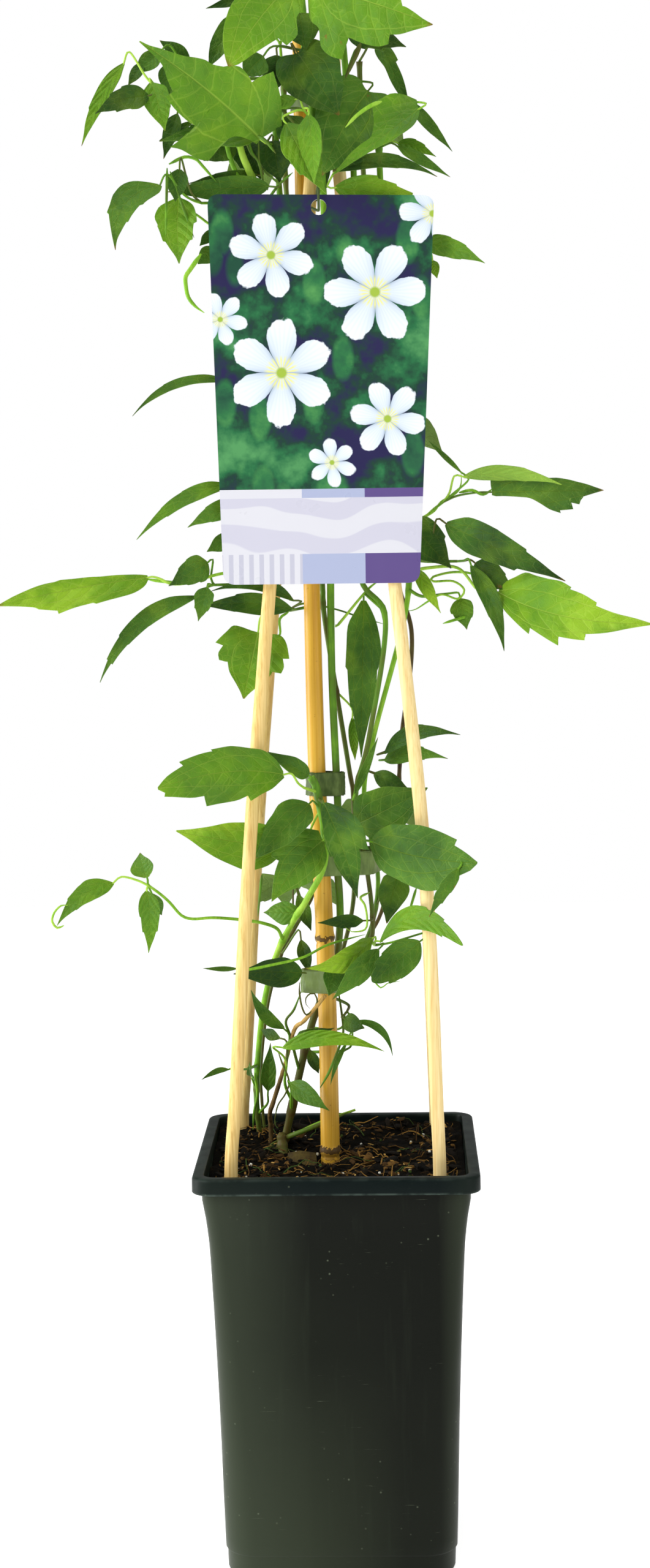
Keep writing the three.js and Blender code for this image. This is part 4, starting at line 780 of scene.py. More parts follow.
TWO_LOBED = ([[0, 0, 14], [3, 3, 22], [8, 8, 32], [13, 13, 36], [18, 19, 40], [24, 26, 43],
              [30, 32, 44], [36, 39, 43], [44, 47, 40], [54, 58, 36], [62, 70, 30, 1],
              [68, 74, 14, 1], [74, 77, 13], [82, 84, 10], [91, 92, 4], [100, 100, 1]],
             [[0, -8, 28], [3, -2, 51], [8, 4, 68], [13, 13, 82], [18, 20, 105], [24, 30, 118],
              [30, 40, 124, 1], [36, 40, 78, 1], [44, 46, 79], [54, 56, 84], [62, 66, 78],
              [68, 73, 71, 1], [74, 69, 52, 1], [82, 79, 43], [91, 88, 25], [100, 100, 1]])
STRAP = ([[0, 0, 50], [8, 8, 80], [20, 22, 100], [28, 33, 100, 1], [33, 34, 71, 1], [55, 57, 67],
          [78, 79, 41], [100, 100, 2]],
         [[0, -2, 70], [8, 6, 95], [20, 17, 90], [28, 30, 72], [33, 38, 66], [55, 58, 70],
          [78, 82, 44], [100, 100, 2]])
CURLED = ([[0, 0, 14], [6, 5, 42], [14, 14, 68], [24, 24, 78], [32, 34, 72], [38, 41, 66, 1],
           [46, 46, 58], [54, 54, 42], [64, 64, 28], [76, 77, 17], [88, 88, 10], [100, 100, 1]],
          [[0, -5, 50], [6, 2, 120], [14, 13, 175], [24, 27, 205, 1], [32, 34, 170], [38, 42, 105],
           [46, 52, 45, 1], [54, 56, 42], [64, 64, 47], [76, 76, 40], [88, 88, 20], [100, 100, 1]])
FAR_LEFT = ([[0, 0, 10], [5, 4, 36], [12, 12, 60], [20, 22, 79], [30, 40, 93, 1], [36, 42, 78, 1],
             [46, 54, 88], [54, 65, 100, 1], [60, 65, 82, 1], [68, 76, 56, 1], [76, 79, 42],
             [88, 90, 20], [100, 100, 1]],
            [[0, 0, 10], [5, 5, 17], [12, 12, 22], [20, 21, 28], [30, 32, 34], [36, 39, 38],
             [46, 50, 45], [54, 58, 52, 1], [60, 62, 46, 1], [68, 71, 42], [76, 80, 36],
             [88, 90, 20], [100, 100, 1]])
FAR_RIGHT = ([[0, 0, 10], [4, 4, 42], [10, 10, 72], [17, 18, 92], [24, 26, 100], [30, 35, 100],
              [36, 44, 97], [42, 51, 93, 1], [48, 48, 80, 1], [54, 58, 74], [60, 67, 55, 1],
              [66, 67, 46, 1], [76, 78, 33], [88, 90, 17], [100, 100, 1]],
             [[0, 0, 10], [4, 3, 26], [10, 10, 44], [17, 19, 60], [24, 33, 88, 1], [30, 32, 70, 1],
              [36, 42, 82], [42, 53, 97, 1], [48, 51, 67, 1], [54, 60, 68], [60, 67, 68, 1],
              [66, 66, 46, 1], [76, 78, 35], [88, 90, 14], [100, 100, 1]])
FORKED = ([[0, -1, 30], [4, -1, 80, 1], [10, 8, 100, 1], [18, 15, 94], [26, 27, 100, 1],
           [34, 33, 72, 1], [42, 44, 68], [50, 52, 64], [58, 60, 60], [64, 66, 53], [70, 73, 47],
           [76, 79, 40], [84, 86, 28], [92, 93, 14], [100, 100, 1]],
          [[0, 0, 14], [4, 4, 18], [10, 10, 20], [18, 18, 22], [26, 27, 24], [34, 36, 30],
           [42, 45, 55], [50, 54, 80], [58, 64, 106, 1], [64, 63, 86, 1], [70, 75, 84, 1],
           [76, 68, 50, 1], [84, 80, 60, 1], [92, 80, 30, 1], [100, 100, 1]])
# A leaflet's tones, from dark to light: partly its own green and partly painted light and shade,
# with lit leaflets painted lighter and shaded ones darker.
LEAF_TONES_AND_SHADE = {"D": 0.1, "S": 0.23, "M": 0.36, "B": 0.66, "L": 0.88}

# How a leaflet is bent unless its row says more: its roll in degrees, arch and sweep.
LEAFLET_BEND = [0, 0.06, 0]


def fine_outline(rows, chance):
    """The rows of an outline with more between them, curved except at teeth and notches."""
    rows = np.array([(*row, 0)[:4] for row in rows], float)
    rows[:, :3] /= 100
    rows[1:-1, 2] *= 1 + np.array([chance.uniform(-0.06, 0.06) for _ in rows[1:-1]])
    fine = []
    for i in range(len(rows) - 1):
        here, after = rows[i, :3], rows[i + 1, :3]
        chord = after - here
        leave = chord if i == 0 or rows[i, 3] else (after - rows[i - 1, :3]) / 2
        last = i + 2 == len(rows) or rows[i + 1, 3]
        arrive = chord if last else (rows[i + 2, :3] - here) / 2
        for t in np.arange(ROW_STEPS) / ROW_STEPS:
            fine.append((2 * t ** 3 - 3 * t ** 2 + 1) * here + (t ** 3 - 2 * t ** 2 + t) * leave
                        + (3 * t ** 2 - 2 * t ** 3) * after + (t ** 3 - t ** 2) * arrive)
    return np.array(fine + [rows[-1, :3]])


def squared(direction, to):
    return (direction - direction.project(to)).normalized()


def leaflet_frame(foot, tip, roll):
    """A leaflet's directions: along its midrib, to its right and out of its face."""
    ahead = (tip - foot).normalized()
    front = Vector((0, -1, 0)) if abs(ahead.y) < 0.98 else Vector((0, 0, 1))
    facing = squared(front, ahead)
    upward = ahead.cross(facing)
    if upward.z < -0.05 or (upward.z < 0.05 and upward.x < 0):
        upward.negate()
    normal = math.cos(math.radians(roll)) * facing + math.sin(math.radians(roll)) * upward
    return ahead, ahead.cross(normal), normal


def stalk_tone(tone):
    """A stalk is brighter than its leaflets."""
    return min(0.95, tone + 0.3)


def add_leaflet(piece, start, into, leaflet, chance):
    """A blade from foot to tip, and its stalklet from start, which it leaves in a direction."""
    foot, tip, width, outline, tone, *bend = leaflet
    roll, arch, sweep = bend + LEAFLET_BEND[len(bend):]
    foot, tip = Vector(foot), Vector(tip)
    ahead, side, normal = leaflet_frame(foot, tip, roll)
    length = (tip - foot).length
    sides = outline if isinstance(outline, tuple) else (outline, outline)
    left, right = (fine_outline(half, chance) for half in sides)
    across = np.linspace(-1, 1, BLADE_COLUMNS)[None, :]
    reach_in = np.abs(across)
    pick = np.where(across < 0, 0, 1)
    rib = (left[:, 0] + right[:, 0])[:, None] / 2
    edge = np.where(pick == 0, left[:, 1][:, None], right[:, 1][:, None])
    share = np.where(pick == 0, left[:, 2][:, None], right[:, 2][:, None])
    along = rib + (edge - rib) * reach_in
    away = np.sign(across) * reach_in * share
    bow = 4 * along * (1 - along)
    reach = away * width / 2
    soft = 0.05 * width
    lift = np.sqrt(reach ** 2 + soft ** 2) - soft
    phase = chance.uniform(*ANY_TURN)
    ripple = BLADE_WAVE * width * np.abs(away) * np.sin(BLADE_RIPPLES * along + np.sign(across))
    frills = np.sin(BLADE_FRILLS * along + phase + 2 * np.sign(across))
    ripple = ripple + BLADE_FRILL * width * away ** 2 * frills
    arc = np.sin(np.pi * np.clip(along, 0, 1) ** 0.8)
    quilt = np.zeros_like(along)
    for low, high in ((0, 0.36), (0.36, 0.7), (0.7, 1.1)):
        spread = np.maximum(arc * (high - low), 1e-3)
        inside = np.clip((np.abs(away) - arc * low) / spread, 0, 1)
        quilt = np.maximum(quilt, np.sin(np.pi * inside) * np.minimum(1, 3 * spread))
    cross_fold = np.abs(np.sin(np.pi * (8 * along - 1.9 * np.abs(away))))
    quilt = BLADE_QUILT * width * (quilt + 0.35 * cross_fold * np.minimum(1, 5 * np.abs(away)))
    curl = chance.uniform(-0.035, 0.02) * length * np.clip(along, 0, 1) ** 4
    sideways = sweep * length * bow + reach * math.cos(BLADE_FOLD)
    outward = arch * length * bow + lift * math.sin(BLADE_FOLD) + ripple + quilt + curl
    grid = (np.array(foot) + np.multiply.outer(along, np.array(tip - foot))
            + np.multiply.outer(sideways, np.array(side))
            + np.multiply.outer(outward, np.array(normal)))
    places = np.stack([along, away / 2 + 0.5], axis=2)
    paint = (LEAF_TONES_AND_SHADE[tone], chance.random())
    add_sheet(piece, grid, BLADE_THICKNESS, BLADE, paint, places)

    start, into = np.array(start), np.array(into)
    gap = np.linalg.norm(np.array(foot) - start)
    first = start + into * gap * 0.3
    inner = np.array(foot) - np.array(ahead) * gap * 0.3
    knee = (start + first * 2 + inner) / 4 + (inner - start) * 0.02
    sunk = np.array(foot) + np.array(ahead) * min(STALKLET_SUNK[0], length * STALKLET_SUNK[1])
    path = smooth_path([start, knee, inner, foot, sunk], 1.6)
    radii = np.linspace(*STALKLET_RADII, len(path))
    radii[-1] *= 0.5
    paint = (stalk_tone(LEAF_TONES_AND_SHADE[tone]), chance.random(), 0.0)
    add_rod(piece, path, radii, STALKLET_SIDES, WOODY, paint)


def add_leaf(piece, stem, row, chance):
    """A leaf: its stalk from the stem to the last of its points, and its leaflets."""
    height, stalk_points, leaflets = row
    joint = along_height(stem, height)
    tones = [LEAF_TONES_AND_SHADE[leaflet[4]] for leaflet in leaflets]
    tone = stalk_tone(sum(tones) / len(tones) if tones else 0.6)
    start, into = joint, np.zeros(3)
    if stalk_points:
        path = smooth_path([joint, *stalk_points], 2.2)
        radii = np.linspace(*STALK_RADII, len(path))
        add_rod(piece, path, radii, STALK_SIDES, WOODY, (tone, chance.random(), 0.0))
        start = path[-1]
        into = path[-1] - path[-2]
        into = into / np.linalg.norm(into)
    for leaflet in leaflets:
        add_leaflet(piece, start, into, leaflet, chance)


# ---- Shoots ------------------------------------------------------------------------------

# Each shoot's course, from inside the soil to its tip.
FRONT_LEFT = [[-39, 41, 150], [-39, 40, 182], [-40, 34, 202], [-39, 28, 222], [-35, 19, 253],
              [-28, 10, 279], [-19, 3, 297], [-13, -3, 307], [-4, -10, 327], [-7, -11, 357],
              [-10, -12, 365]]
MIDDLE = [[-29, 21, 150], [-27, 20, 180], [-21, 16, 209], [-12, 13, 245], [-4, 13, 264],
          [0, 11, 277], [2, 8, 293], [2, 5, 308], [1, 3, 326], [2, 2, 343], [0, 2, 409],
          [0, 2, 460], [1, 3, 482], [3, 2, 532], [2, -1, 557], [-1, -17, 635], [-4, -19, 659],
          [-7, -18, 683], [-10, -14, 721]]
LEFT = [[-27, 27, 150], [-27, 25, 179], [-21, 24, 207], [-12, 23, 243], [-3, 22, 262], [4, 17, 283],
        [8, 14, 301], [9, 13, 318], [9, 11, 353], [7, 10, 368], [-3, 10, 435], [-4, 11, 451],
        [-6, 13, 465], [-10, 15, 479], [-12, 15, 496], [-17, 8, 580], [-21, 0, 634],
        [-23, -8, 685]]
FRONT_RIGHT = [[-27, 34, 150], [-27, 31, 178], [-21, 30, 206], [-12, 29, 242], [-3, 26, 259],
               [5, 22, 269], [12, 16, 278], [17, 11, 287], [17, 6, 302], [15, 3, 320], [11, 2, 349],
               [11, 1, 360], [17, 0, 383], [25, 0, 436], [14, 3, 455], [12, 4, 490], [11, 1, 541],
               [12, 3, 590], [13, 0, 632], [12, -8, 658], [11, -10, 670], [8, -14, 707]]
RIGHT = [[-28, 40, 150], [-28, 38, 176], [-22, 37, 204], [-13, 35, 240], [-4, 33, 257],
         [3, 30, 265], [10, 26, 275], [17, 21, 291], [20, 18, 309], [19, 16, 324], [14, 13, 353],
         [19, 10, 382], [34, 5, 438], [36, 4, 468], [34, 4, 512], [27, 3, 587], [25, -2, 633],
         [24, -10, 667]]
BACK_RIGHT = [[-28, 49, 150], [-28, 48, 172], [-22, 46, 203], [-13, 45, 239], [-4, 44, 257],
              [3, 43, 265], [15, 40, 282], [23, 36, 300], [29, 27, 340], [32, 20, 381],
              [36, 15, 408], [37, 12, 431], [32, 12, 449], [30, 13, 462], [28, 15, 507],
              [23, 19, 564], [19, 21, 620], [17, 20, 645], [16, 12, 690]]
BACK_LEFT = [[-36, 51, 150], [-36, 49, 170], [-38, 45, 200], [-38, 42, 219], [-34, 38, 250],
             [-27, 36, 275], [-23, 36, 283], [-16, 34, 295], [-10, 31, 310], [-7, 22, 352],
             [-8, 19, 411], [-8, 20, 439], [-15, 28, 554], [-17, 30, 610], [-19, 29, 638],
             [-19, 26, 663], [-19, 20, 684]]
# What each shoot's stem looks like: its node, course, radii, and [height, tone] along it.
SHOOTS = [
    ["shoot_front_left", FRONT_LEFT, (1.2, 1.5),
     [[180, 0.35], [215, 0.6], [250, 0.78], [300, 0.9], [365, 0.7]]],
    ["shoot_middle", MIDDLE, (1.9, 1.6),
     [[180, 0.25], [230, 0.32], [270, 0.4], [300, 0.55], [440, 0.62], [720, 0.75]]],
    ["shoot_left", LEFT, (0.6, 1.4), [[180, 0.4], [300, 0.35], [360, 0.4], [450, 0.5], [680, 0.6]]],
    ["shoot_front_right", FRONT_RIGHT, (0.6, 1.5),
     [[190, 0.4], [300, 0.35], [380, 0.5], [440, 0.62], [700, 0.7]]],
    ["shoot_right", RIGHT, (0.6, 1.4),
     [[180, 0.5], [300, 0.6], [360, 0.8], [450, 0.85], [660, 0.7]]],
    ["shoot_back_right", BACK_RIGHT, (0.6, 1.2),
     [[170, 0.4], [300, 0.12], [440, 0.15], [690, 0.4]]],
    ["shoot_back_left", BACK_LEFT, (0.6, 1.2), [[170, 0.4], [300, 0.3], [440, 0.4], [680, 0.5]]],
]

# The leaves that face the front, by shoot, each as [height where its stalk leaves the shoot, points
# of the stalk, leaflets], and each leaflet as [foot, tip, width, outline, tone], then its bend.
LEAVES = {
    "shoot_front_left": [
        [196, [[-35, 30, 202]], [[[-34, 26, 210], [-32, 16, 235], 7.5, PLAIN, "M"]]],
        [210, [[-41, 22, 216]], [[[-40, 4, 222], [-39, -34, 237], 3, SMALL, "M", 20, 0.05]]],
        [222, [[-43, 10, 224]], [
            [[-50, -18, 230], [-61, -34, 229], 3, SMALL, "M", 30, 0.05, 0.05],
        ]],
        [274, [], [
            [[-16, -1, 272], [-47, -14, 274], 14, ENTIRE, "D", 0, 0.05, 0.03],
            [[-45, -22, 278], [-60, -32, 280], 2.5, SMALL, "M", 0, 0.05],
        ]],
        [286, [[-27, -2, 293], [-33, -10, 297], [-40, -20, 300], [-49, -26, 302], [-56, -30, 303],
                [-64, -33, 303], [-69, -35, 305], [-74, -36, 311], [-78, -37, 315],
                [-83, -38, 319]], [
            [[-99, -42, 321], [-123, -55, 304], 10, TOOTHED, "B", 15, 0.1, 0.1],
            [[-84, -40, 317], [-83, -48, 290], 10, TOOTHED, "B", 0, 0.1, -0.05],
            [[-82, -36, 315], [-78, -34, 305], 7, SMALL, "M", 0, 0.1],
            [[-84, -38, 323], [-87, -37, 334], 12, SMALL, "M", -20, 0.1],
        ]],
        [300, [], [[[-16, 4, 300], [-34, 10, 299], 11, PLAIN, "M", 0, 0.08]]],
        [339, [], [[[-5, -15, 336], [-28, -28, 310], 25, BROAD, "B", 0, 0.08, 0.05]]],
        [350, [], [
            [[-22, -11, 333], [-71, -30, 343], 24, ENTIRE, "L", -15, 0.05],
            [[-11, -16, 353], [-36, -26, 329], 19, ENTIRE, "M", 30, 0.1, -0.05],
        ]],
        [355, [[-5, -17, 354]], [
            [[-4, -22, 354], [11, -34, 312], 23, SIDE_TOOTH, "S", 0, 0.08, -0.03],
        ]],
        [358, [[-13, -20, 361]], [
            [[-22, -29, 368], [-76, -64, 366], 26, NOTCHED, "B", 15, 0.08, 0.05],
        ]],
        [363, [], [[[-11, -14, 366], [-29, -22, 378], 9, ENTIRE, "M", 30, 0.1, -0.05]]],
    ],
    "shoot_middle": [
        [188, [[-8, 16, 197], [8, 14, 203]], []],
        [202, [[-22, 6, 214]], [[[-22, 2, 219], [-4, -12, 209], 9.5, PLAIN, "M", 10, 0.08]]],
        [206, [[-25, 8, 217], [-24, 4, 227]], [
            [[-25, -8, 238], [22, -20, 238], 8, ENTIRE, "L", 0, 0.06, -0.13],
            [[-25, 2, 245], [-39, -16, 267], 7, ENTIRE, "M", -20, 0.05, -0.05],
            [[-27, 4, 240], [-36, 10, 243], 5.5, SMALL, "D", 0, 0.05],
        ]],
        [232, [[-11, 6, 238]], [[[-19, -1, 241], [-1, -8, 247], 7, PLAIN, "D", 0, 0.1]]],
        [236, [], [[[-13, 9, 233], [-9, 8, 222], 6, SMALL, "D", 0, 0.05]]],
        [659, [[-6, -26, 660], [-8, -30, 662]], [
            [[-16, -34, 656], [1, -36, 625], 16.5, TOOTHED, "B", 20, 0.1, 0.06],
            [[-6, -38, 659], [-4, -40, 629], 12.5, PLAIN, "B", -30, 0.1, -0.08],
            [[-12, -30, 667], [-23, -31, 664], 6.5, SMALL, "B"],
            [[-16, -22, 661], [-10, -26, 644], 14, PLAIN, "S"],
        ]],
        [648, [], [[[-6, -11, 648], [1, -10, 631], 13, PLAIN, "D"]]],
        [690, [], [
            [[-10, -24, 705], [-7, -26, 689], 18, PLAIN, "S"],
            [[-26, -28, 686], [-35, -30, 677], 13, PLAIN, "S"],
            [[-20, -24, 687], [-22, -26, 670], 13, PLAIN, "D"],
        ]],
        [672, [], [[[-11, -24, 688], [7, -31, 660], 27, HEART, "D"]]],
        [701, [[-12, -28, 707]], [
            [[-13, -36, 715], [-40, -48, 679], 31, BLUNT_END, "B", -10, 0.08, 0.04],
            [[-37, -30, 704], [-51, -26, 681], 10, PLAIN, "M"],
        ]],
        [707, [], [[[-29, -18, 714], [-51, -28, 707], 5, SMALL, "D"]]],
        [712, [[-10, -14, 728]], [
            [[-14, -13, 731], [-34, -8, 752], 17, TOOTHED, "B", 30, 0.08, 0.05],
            [[-10, -18, 732], [-6, -37, 756], 16, TOOTHED, "B", 60, 0.1],
            [[-6, -13, 731], [16, -10, 750], 16, PLAIN, "B", 30, 0.08, -0.05],
        ]],
    ],
    "shoot_left": [
        [229, [[3, 12, 232]], [[[5, -6, 240], [-3, -12, 221], 2.5, SMALL, "M", 0, 0.05, 0.05]]],
        [241, [[-2, 16, 241]], [[[9, -2, 249], [26, -14, 235], 4, ENTIRE, "M", 20, 0.05, -0.19]]],
        [257, [[5, 14, 254], [5, 1, 253]], [
            [[4, -6, 251], [13, -14, 248], 9.5, SMALL, "D", 0, 0.08],
        ]],
        [403, [], [[[9, 15, 390], [10, 15, 370], 5, SMALL, "L", 0, 0.05]]],
        [444, [[-12, 16, 442], [-19, 4, 441]], [
            [[-18, -4, 442], [-60, -14, 444], 10, PLAIN, "S", 0, 0.06, 0.05],
            [[-17, -8, 446], [-54, -24, 451], 6, PLAIN, "D", 0, 0.1, 0.14],
            [[-33, -16, 432], [-40, -18, 402], 34.5, LOBED, "B", 0, 0.08],
        ]],
        [455, [[-24, -2, 454], [-39, -16, 454], [-52, -24, 454]], [
            [[-60, -28, 449], [-102, -50, 413], 9, CUT, "M", 20, 0.08, 0.1],
            [[-55, -29, 453], [-59, -33, 438], 9, TOOTHED, "M"],
            [[-55, -24, 464], [-72, -34, 454], 13, TOOTHED, "M", 0, 0.1],
        ]],
        [461, [[-20, 4, 460], [-28, -12, 460], [-38, -20, 460], [-49, -24, 459], [-57, -28, 457],
                [-65, -31, 455], [-71, -33, 455], [-75, -34, 457]], [
            [[-81, -36, 458], [-145, -62, 447], 21, FAR_LEFT, "L", 15],
        ]],
        [476, [[-27, -8, 478]], [
            [[-45, -20, 499], [-85, -42, 475], 8, TOOTHED, "B", 20, 0.08, 0.06],
            [[-40, -20, 490], [-63, -32, 480], 9, PLAIN, "B", 0, 0.08, 0.05],
            [[-42, -20, 475], [-55, -26, 469], 8.5, SMALL, "M", 0, 0.08, 0.05],
        ]],
        [542, [[-27, -4, 544]], [
            [[-43, -16, 545], [-86, -38, 530], 5.5, PLAIN, "M", 30, 0.06, 0.12],
        ]],
        [614, [[-36, -10, 614]], [
            [[-49, -19, 612], [-56, -22, 605], 5.5, SMALL, "D", 0, 0.05],
            [[-49, -18, 604], [-57, -22, 597], 8.5, SMALL, "M", 0, 0.05],
        ]],
        [626, [[-36, -10, 625], [-55, -20, 624]], [
            [[-65, -22, 626], [-65, -26, 597], 19.5, TOOTHED, "B", -10, 0.08],
            [[-64, -26, 638], [-66, -28, 624], 10, SMALL, "D", 0, 0.08],
            [[-72, -36, 630], [-90, -58, 600], 15, TOOTHED, "M", 10, 0.08, 0.17],
        ]],
        [646, [[-29, -8, 644]], [
            [[-30, -12, 637], [-61, -18, 633], 6, PLAIN, "D", 0, 0.08],
            [[-25, -19, 631], [-70, -21, 629], 11.5, ENTIRE, "S", 0, 0],
            [[-40, -13, 652], [-54, -16, 643], 13, PLAIN, "D"],
            [[-35, -2, 653], [-29, -6, 636], 17, PLAIN, "D"],
            [[-23, -10, 652], [-20, -14, 633], 16, PLAIN, "D"],
        ]],
        [651, [[-25, -16, 650]], [
            [[-28, -24, 651], [-78, -52, 689], 57, POINTED, "B", -6, 0.06, 0.03],
            [[-31, -18, 652], [-72, -32, 650], 14, TOOTHED, "M", 20, 0.06, 0.03],
        ]],
        [664, [[-51, -22, 662], [-71, -32, 671]], [
            [[-76, -40, 668], [-98, -52, 659], 11.5, TOOTHED, "D", 0, 0.06, 0.06],
            [[-75, -37, 674], [-69, -40, 653], 12.5, PLAIN, "B", 0, 0.08, -0.03],
            [[-87, -34, 683], [-105, -46, 646], 7, PLAIN, "B", 0, 0.04, 0.04],
        ]],
        [672, [[-54, -14, 671]], [
            [[-65, -20, 663], [-71, -26, 643], 7.5, PLAIN, "D"],
            [[-58, -18, 660], [-73, -24, 651], 3.5, SMALL, "D", 0, 0.05],
        ]],
        [680, [[-54, -8, 680]], [
            [[-80, -20, 685], [-86, -26, 675], 5.5, SMALL, "D", 0, 0.05],
            [[-73, -16, 690], [-83, -22, 681], 9, SMALL, "M"],
            [[-70, -12, 686], [-68, -16, 671], 9, SMALL, "M"],
            [[-60, -6, 688], [-73, -10, 697], 8, SMALL, "D"],
        ]],
    ],
    "shoot_front_right": [
        [272, [[4, 2, 274]], [[[1, -12, 276], [-3, -22, 265], 10.5, SMALL, "M"]]],
        [285, [[18, -2, 285]], [
            [[21, -16, 289], [57, -70, 296], 11, BLUNT, "B", 20, 0.04, -0.17],
            [[17, -8, 289], [-13, -24, 278], 12, PLAIN, "L", -10, 0.12, -0.08],
            [[39, -18, 289], [17, -26, 272], 16, BLUNT, "M"],
            [[20, -15, 285], [-1, -26, 264], 10.5, PLAIN, "M"],
        ]],
        [296, [], [[[13, -5, 297], [-8, -10, 297], 6.5, PLAIN, "D", 0, 0.08, 0.02]]],
        [363, [], [[[10, -5, 356], [21, -12, 383], 4, SMALL, "M", 0, 0.04]]],
        [441, [[16, 4, 448]], [[[15, 9, 445], [13, 8, 372], 16.5, TOOTHED, "M", 0, 0.05]]],
        [646, [[8, -16, 642]], [
            [[6, -20, 637], [50, -28, 633], 7, PLAIN, "D", 10, 0.06, -0.11],
            [[5, -18, 630], [45, -21, 623], 14.5, CUT, "L", 0, 0.05],
        ]],
        [678, [], [[[20, -18, 672], [-1, -24, 635], 31, HEART, "S", 0, 0.08, 0.03]]],
        [701, [[2, -26, 708]], [
            [[0, -36, 713], [48, -52, 694], 43, TWO_LOBED, "B", -12, 0.08, -0.02],
            [[11, -22, 699], [37, -28, 689], 14.5, TOOTHED, "D"],
        ]],
        [702, [[10, -6, 718]], [
            [[13, -4, 720], [38, 4, 738], 17, TOOTHED, "B", 70, 0.08],
            [[9, -1, 721], [6, 22, 742], 16, PLAIN, "M", 110, 0.08],
        ]],
    ],
    "shoot_right": [
        [300, [], [[[29, -1, 319], [24, -8, 296], 14, ENTIRE, "D"]]],
        [331, [[41, -22, 330], [54, -48, 331]], [
            [[56, -58, 328], [43, -60, 307], 7, TOOTHED, "M", -20, 0.1, 0.08],
        ]],
        [330, [[19, -6, 334]], [
            [[18, -22, 336], [65, -60, 331], 28.5, END_TOOTH, "M", 0, 0.06, 0.03],
        ]],
        [338, [[18, 0, 341]], [[[11, -10, 343], [43, -28, 361], 25, ENTIRE, "M"]]],
        [450, [[42, -4, 447], [51, -8, 448]], [
            [[59, -12, 446], [62, -14, 432], 11, TOOTHED, "M", 0, 0.08],
        ]],
        [455, [[38, -12, 458]], [[[39, -20, 460], [50, -26, 440], 6.5, PLAIN, "L", 0, 0.08]]],
        [458, [[45, -4, 460], [58, -12, 460], [66, -20, 451]], [
            [[76, -26, 449], [141, -66, 436], 29, FAR_RIGHT, "L", 15, 0.08, 0.08],
        ]],
        [464, [[45, -6, 463], [58, -12, 463]], [
            [[66, -18, 462], [83, -28, 449], 13, TOOTHED, "D"],
            [[64, -22, 461], [78, -36, 423], 8.5, PLAIN, "M", 0, 0.08, -0.06],
        ]],
        [467, [[44, -10, 468]], [
            [[53, -20, 480], [104, -48, 455], 16, TOOTHED, "D", 10, 0.08, 0.02],
        ]],
        [469, [[37, -6, 473]], [[[35, -10, 482], [55, -16, 460], 19, PLAIN, "D"]]],
        [482, [[43, -4, 483], [48, -8, 487], [52, -12, 490]], [
            [[60, -16, 503], [45, -10, 518], 2.5, SMALL, "M"],
            [[61, -18, 501], [104, -38, 497], 8, PLAIN, "L", 150, 0.05, 0.04],
            [[74, -14, 494], [123, -32, 494], 20, FORKED, "S"],
        ]],
        [604, [[37, -6, 606]], [
            [[44, -10, 606], [71, -26, 595], 10, TOOTHED, "B", 0, 0.06, -0.04],
            [[48, -10, 598], [50, -12, 590], 5, SMALL, "L"],
        ]],
        [649, [], [
            [[33, -14, 648], [56, -24, 633], 5, PLAIN, "M"],
            [[33, -10, 650], [50, -16, 643], 6.5, TOOTHED, "B", 0, 0.06, -0.05],
        ]],
        [662, [[32, -18, 666]], [[[42, -28, 662], [4, -36, 633], 15, CURLED, "B", 20, 0.1, -0.05]]],
        [666, [[34, -8, 668]], [[[38, -12, 668], [57, -20, 645], 5.5, PLAIN, "S", 0, 0.05]]],
    ],
    "shoot_back_right": [
        [359, [], [[[19, 20, 363], [35, 14, 356], 9, SMALL, "D", 0, 0.08]]],
        [370, [], [[[24, 14, 370], [53, -4, 372], 9, TOOTHED, "M", 0, 0.06, -0.1]]],
        [376, [], [[[24, 8, 374], [58, -16, 384], 8, PLAIN, "D", 10, 0.06, -0.13]]],
        [690, [], [[[26, -4, 694], [38, -8, 667], 8.5, STRAP, "S", 0, 0.04]]],
    ],
    "shoot_back_left": [
        [274, [], [[[-17, 25, 283], [-13, 20, 268], 7, SMALL, "D", 0, 0.05]]],
        [286, [], [[[-18, 24, 305], [-12, 22, 288], 7, SMALL, "D", 0, 0.05]]],
        [680, [[-20, 14, 698]], [
            [[-24, 14, 703], [-48, 14, 722], 18, TOOTHED, "M", 60, 0.08, 0.05],
            [[-18, 17, 704], [-14, 36, 732], 17, TOOTHED, "M", 120, 0.08],
        ]],
    ],
}

# The leaves that face away from the front, by shoot: [height of the leaf's joint, the stalk's end,
# the leaf's heading in degrees from +X, leaflet length].
BACK_LEAVES = {
    "shoot_back_right": [[330, [22, 40, 344], 95, 34], [510, [28, 31, 527], 85, 34],
                         [596, [22, 34, 615], 80, 33], [650, [18, 31, 668], 100, 30]],
    "shoot_back_left": [[296, [-20, 46, 307], 100, 34], [470, [-12, 38, 485], 95, 34],
                        [556, [-18, 44, 575], 95, 34], [640, [-24, 42, 657], 100, 32]],
}
BACK_LEAFLETS = [(-58, 0.8, PLAIN, "D"), (0, 1, TOOTHED, "M"), (58, 0.8, TOOTHED, "D")]
BACK_LEAF_DROOP = 0.5
BACK_LEAF_STALKLET = 5
BACK_LEAF_RISE = 1.5
BACK_LEAF_REACH = 0.85
BACK_LEAF_WIDTH = 0.58
BACK_LEAF_ROLL = 150
BACK_LEAF_ARCH = 0.1


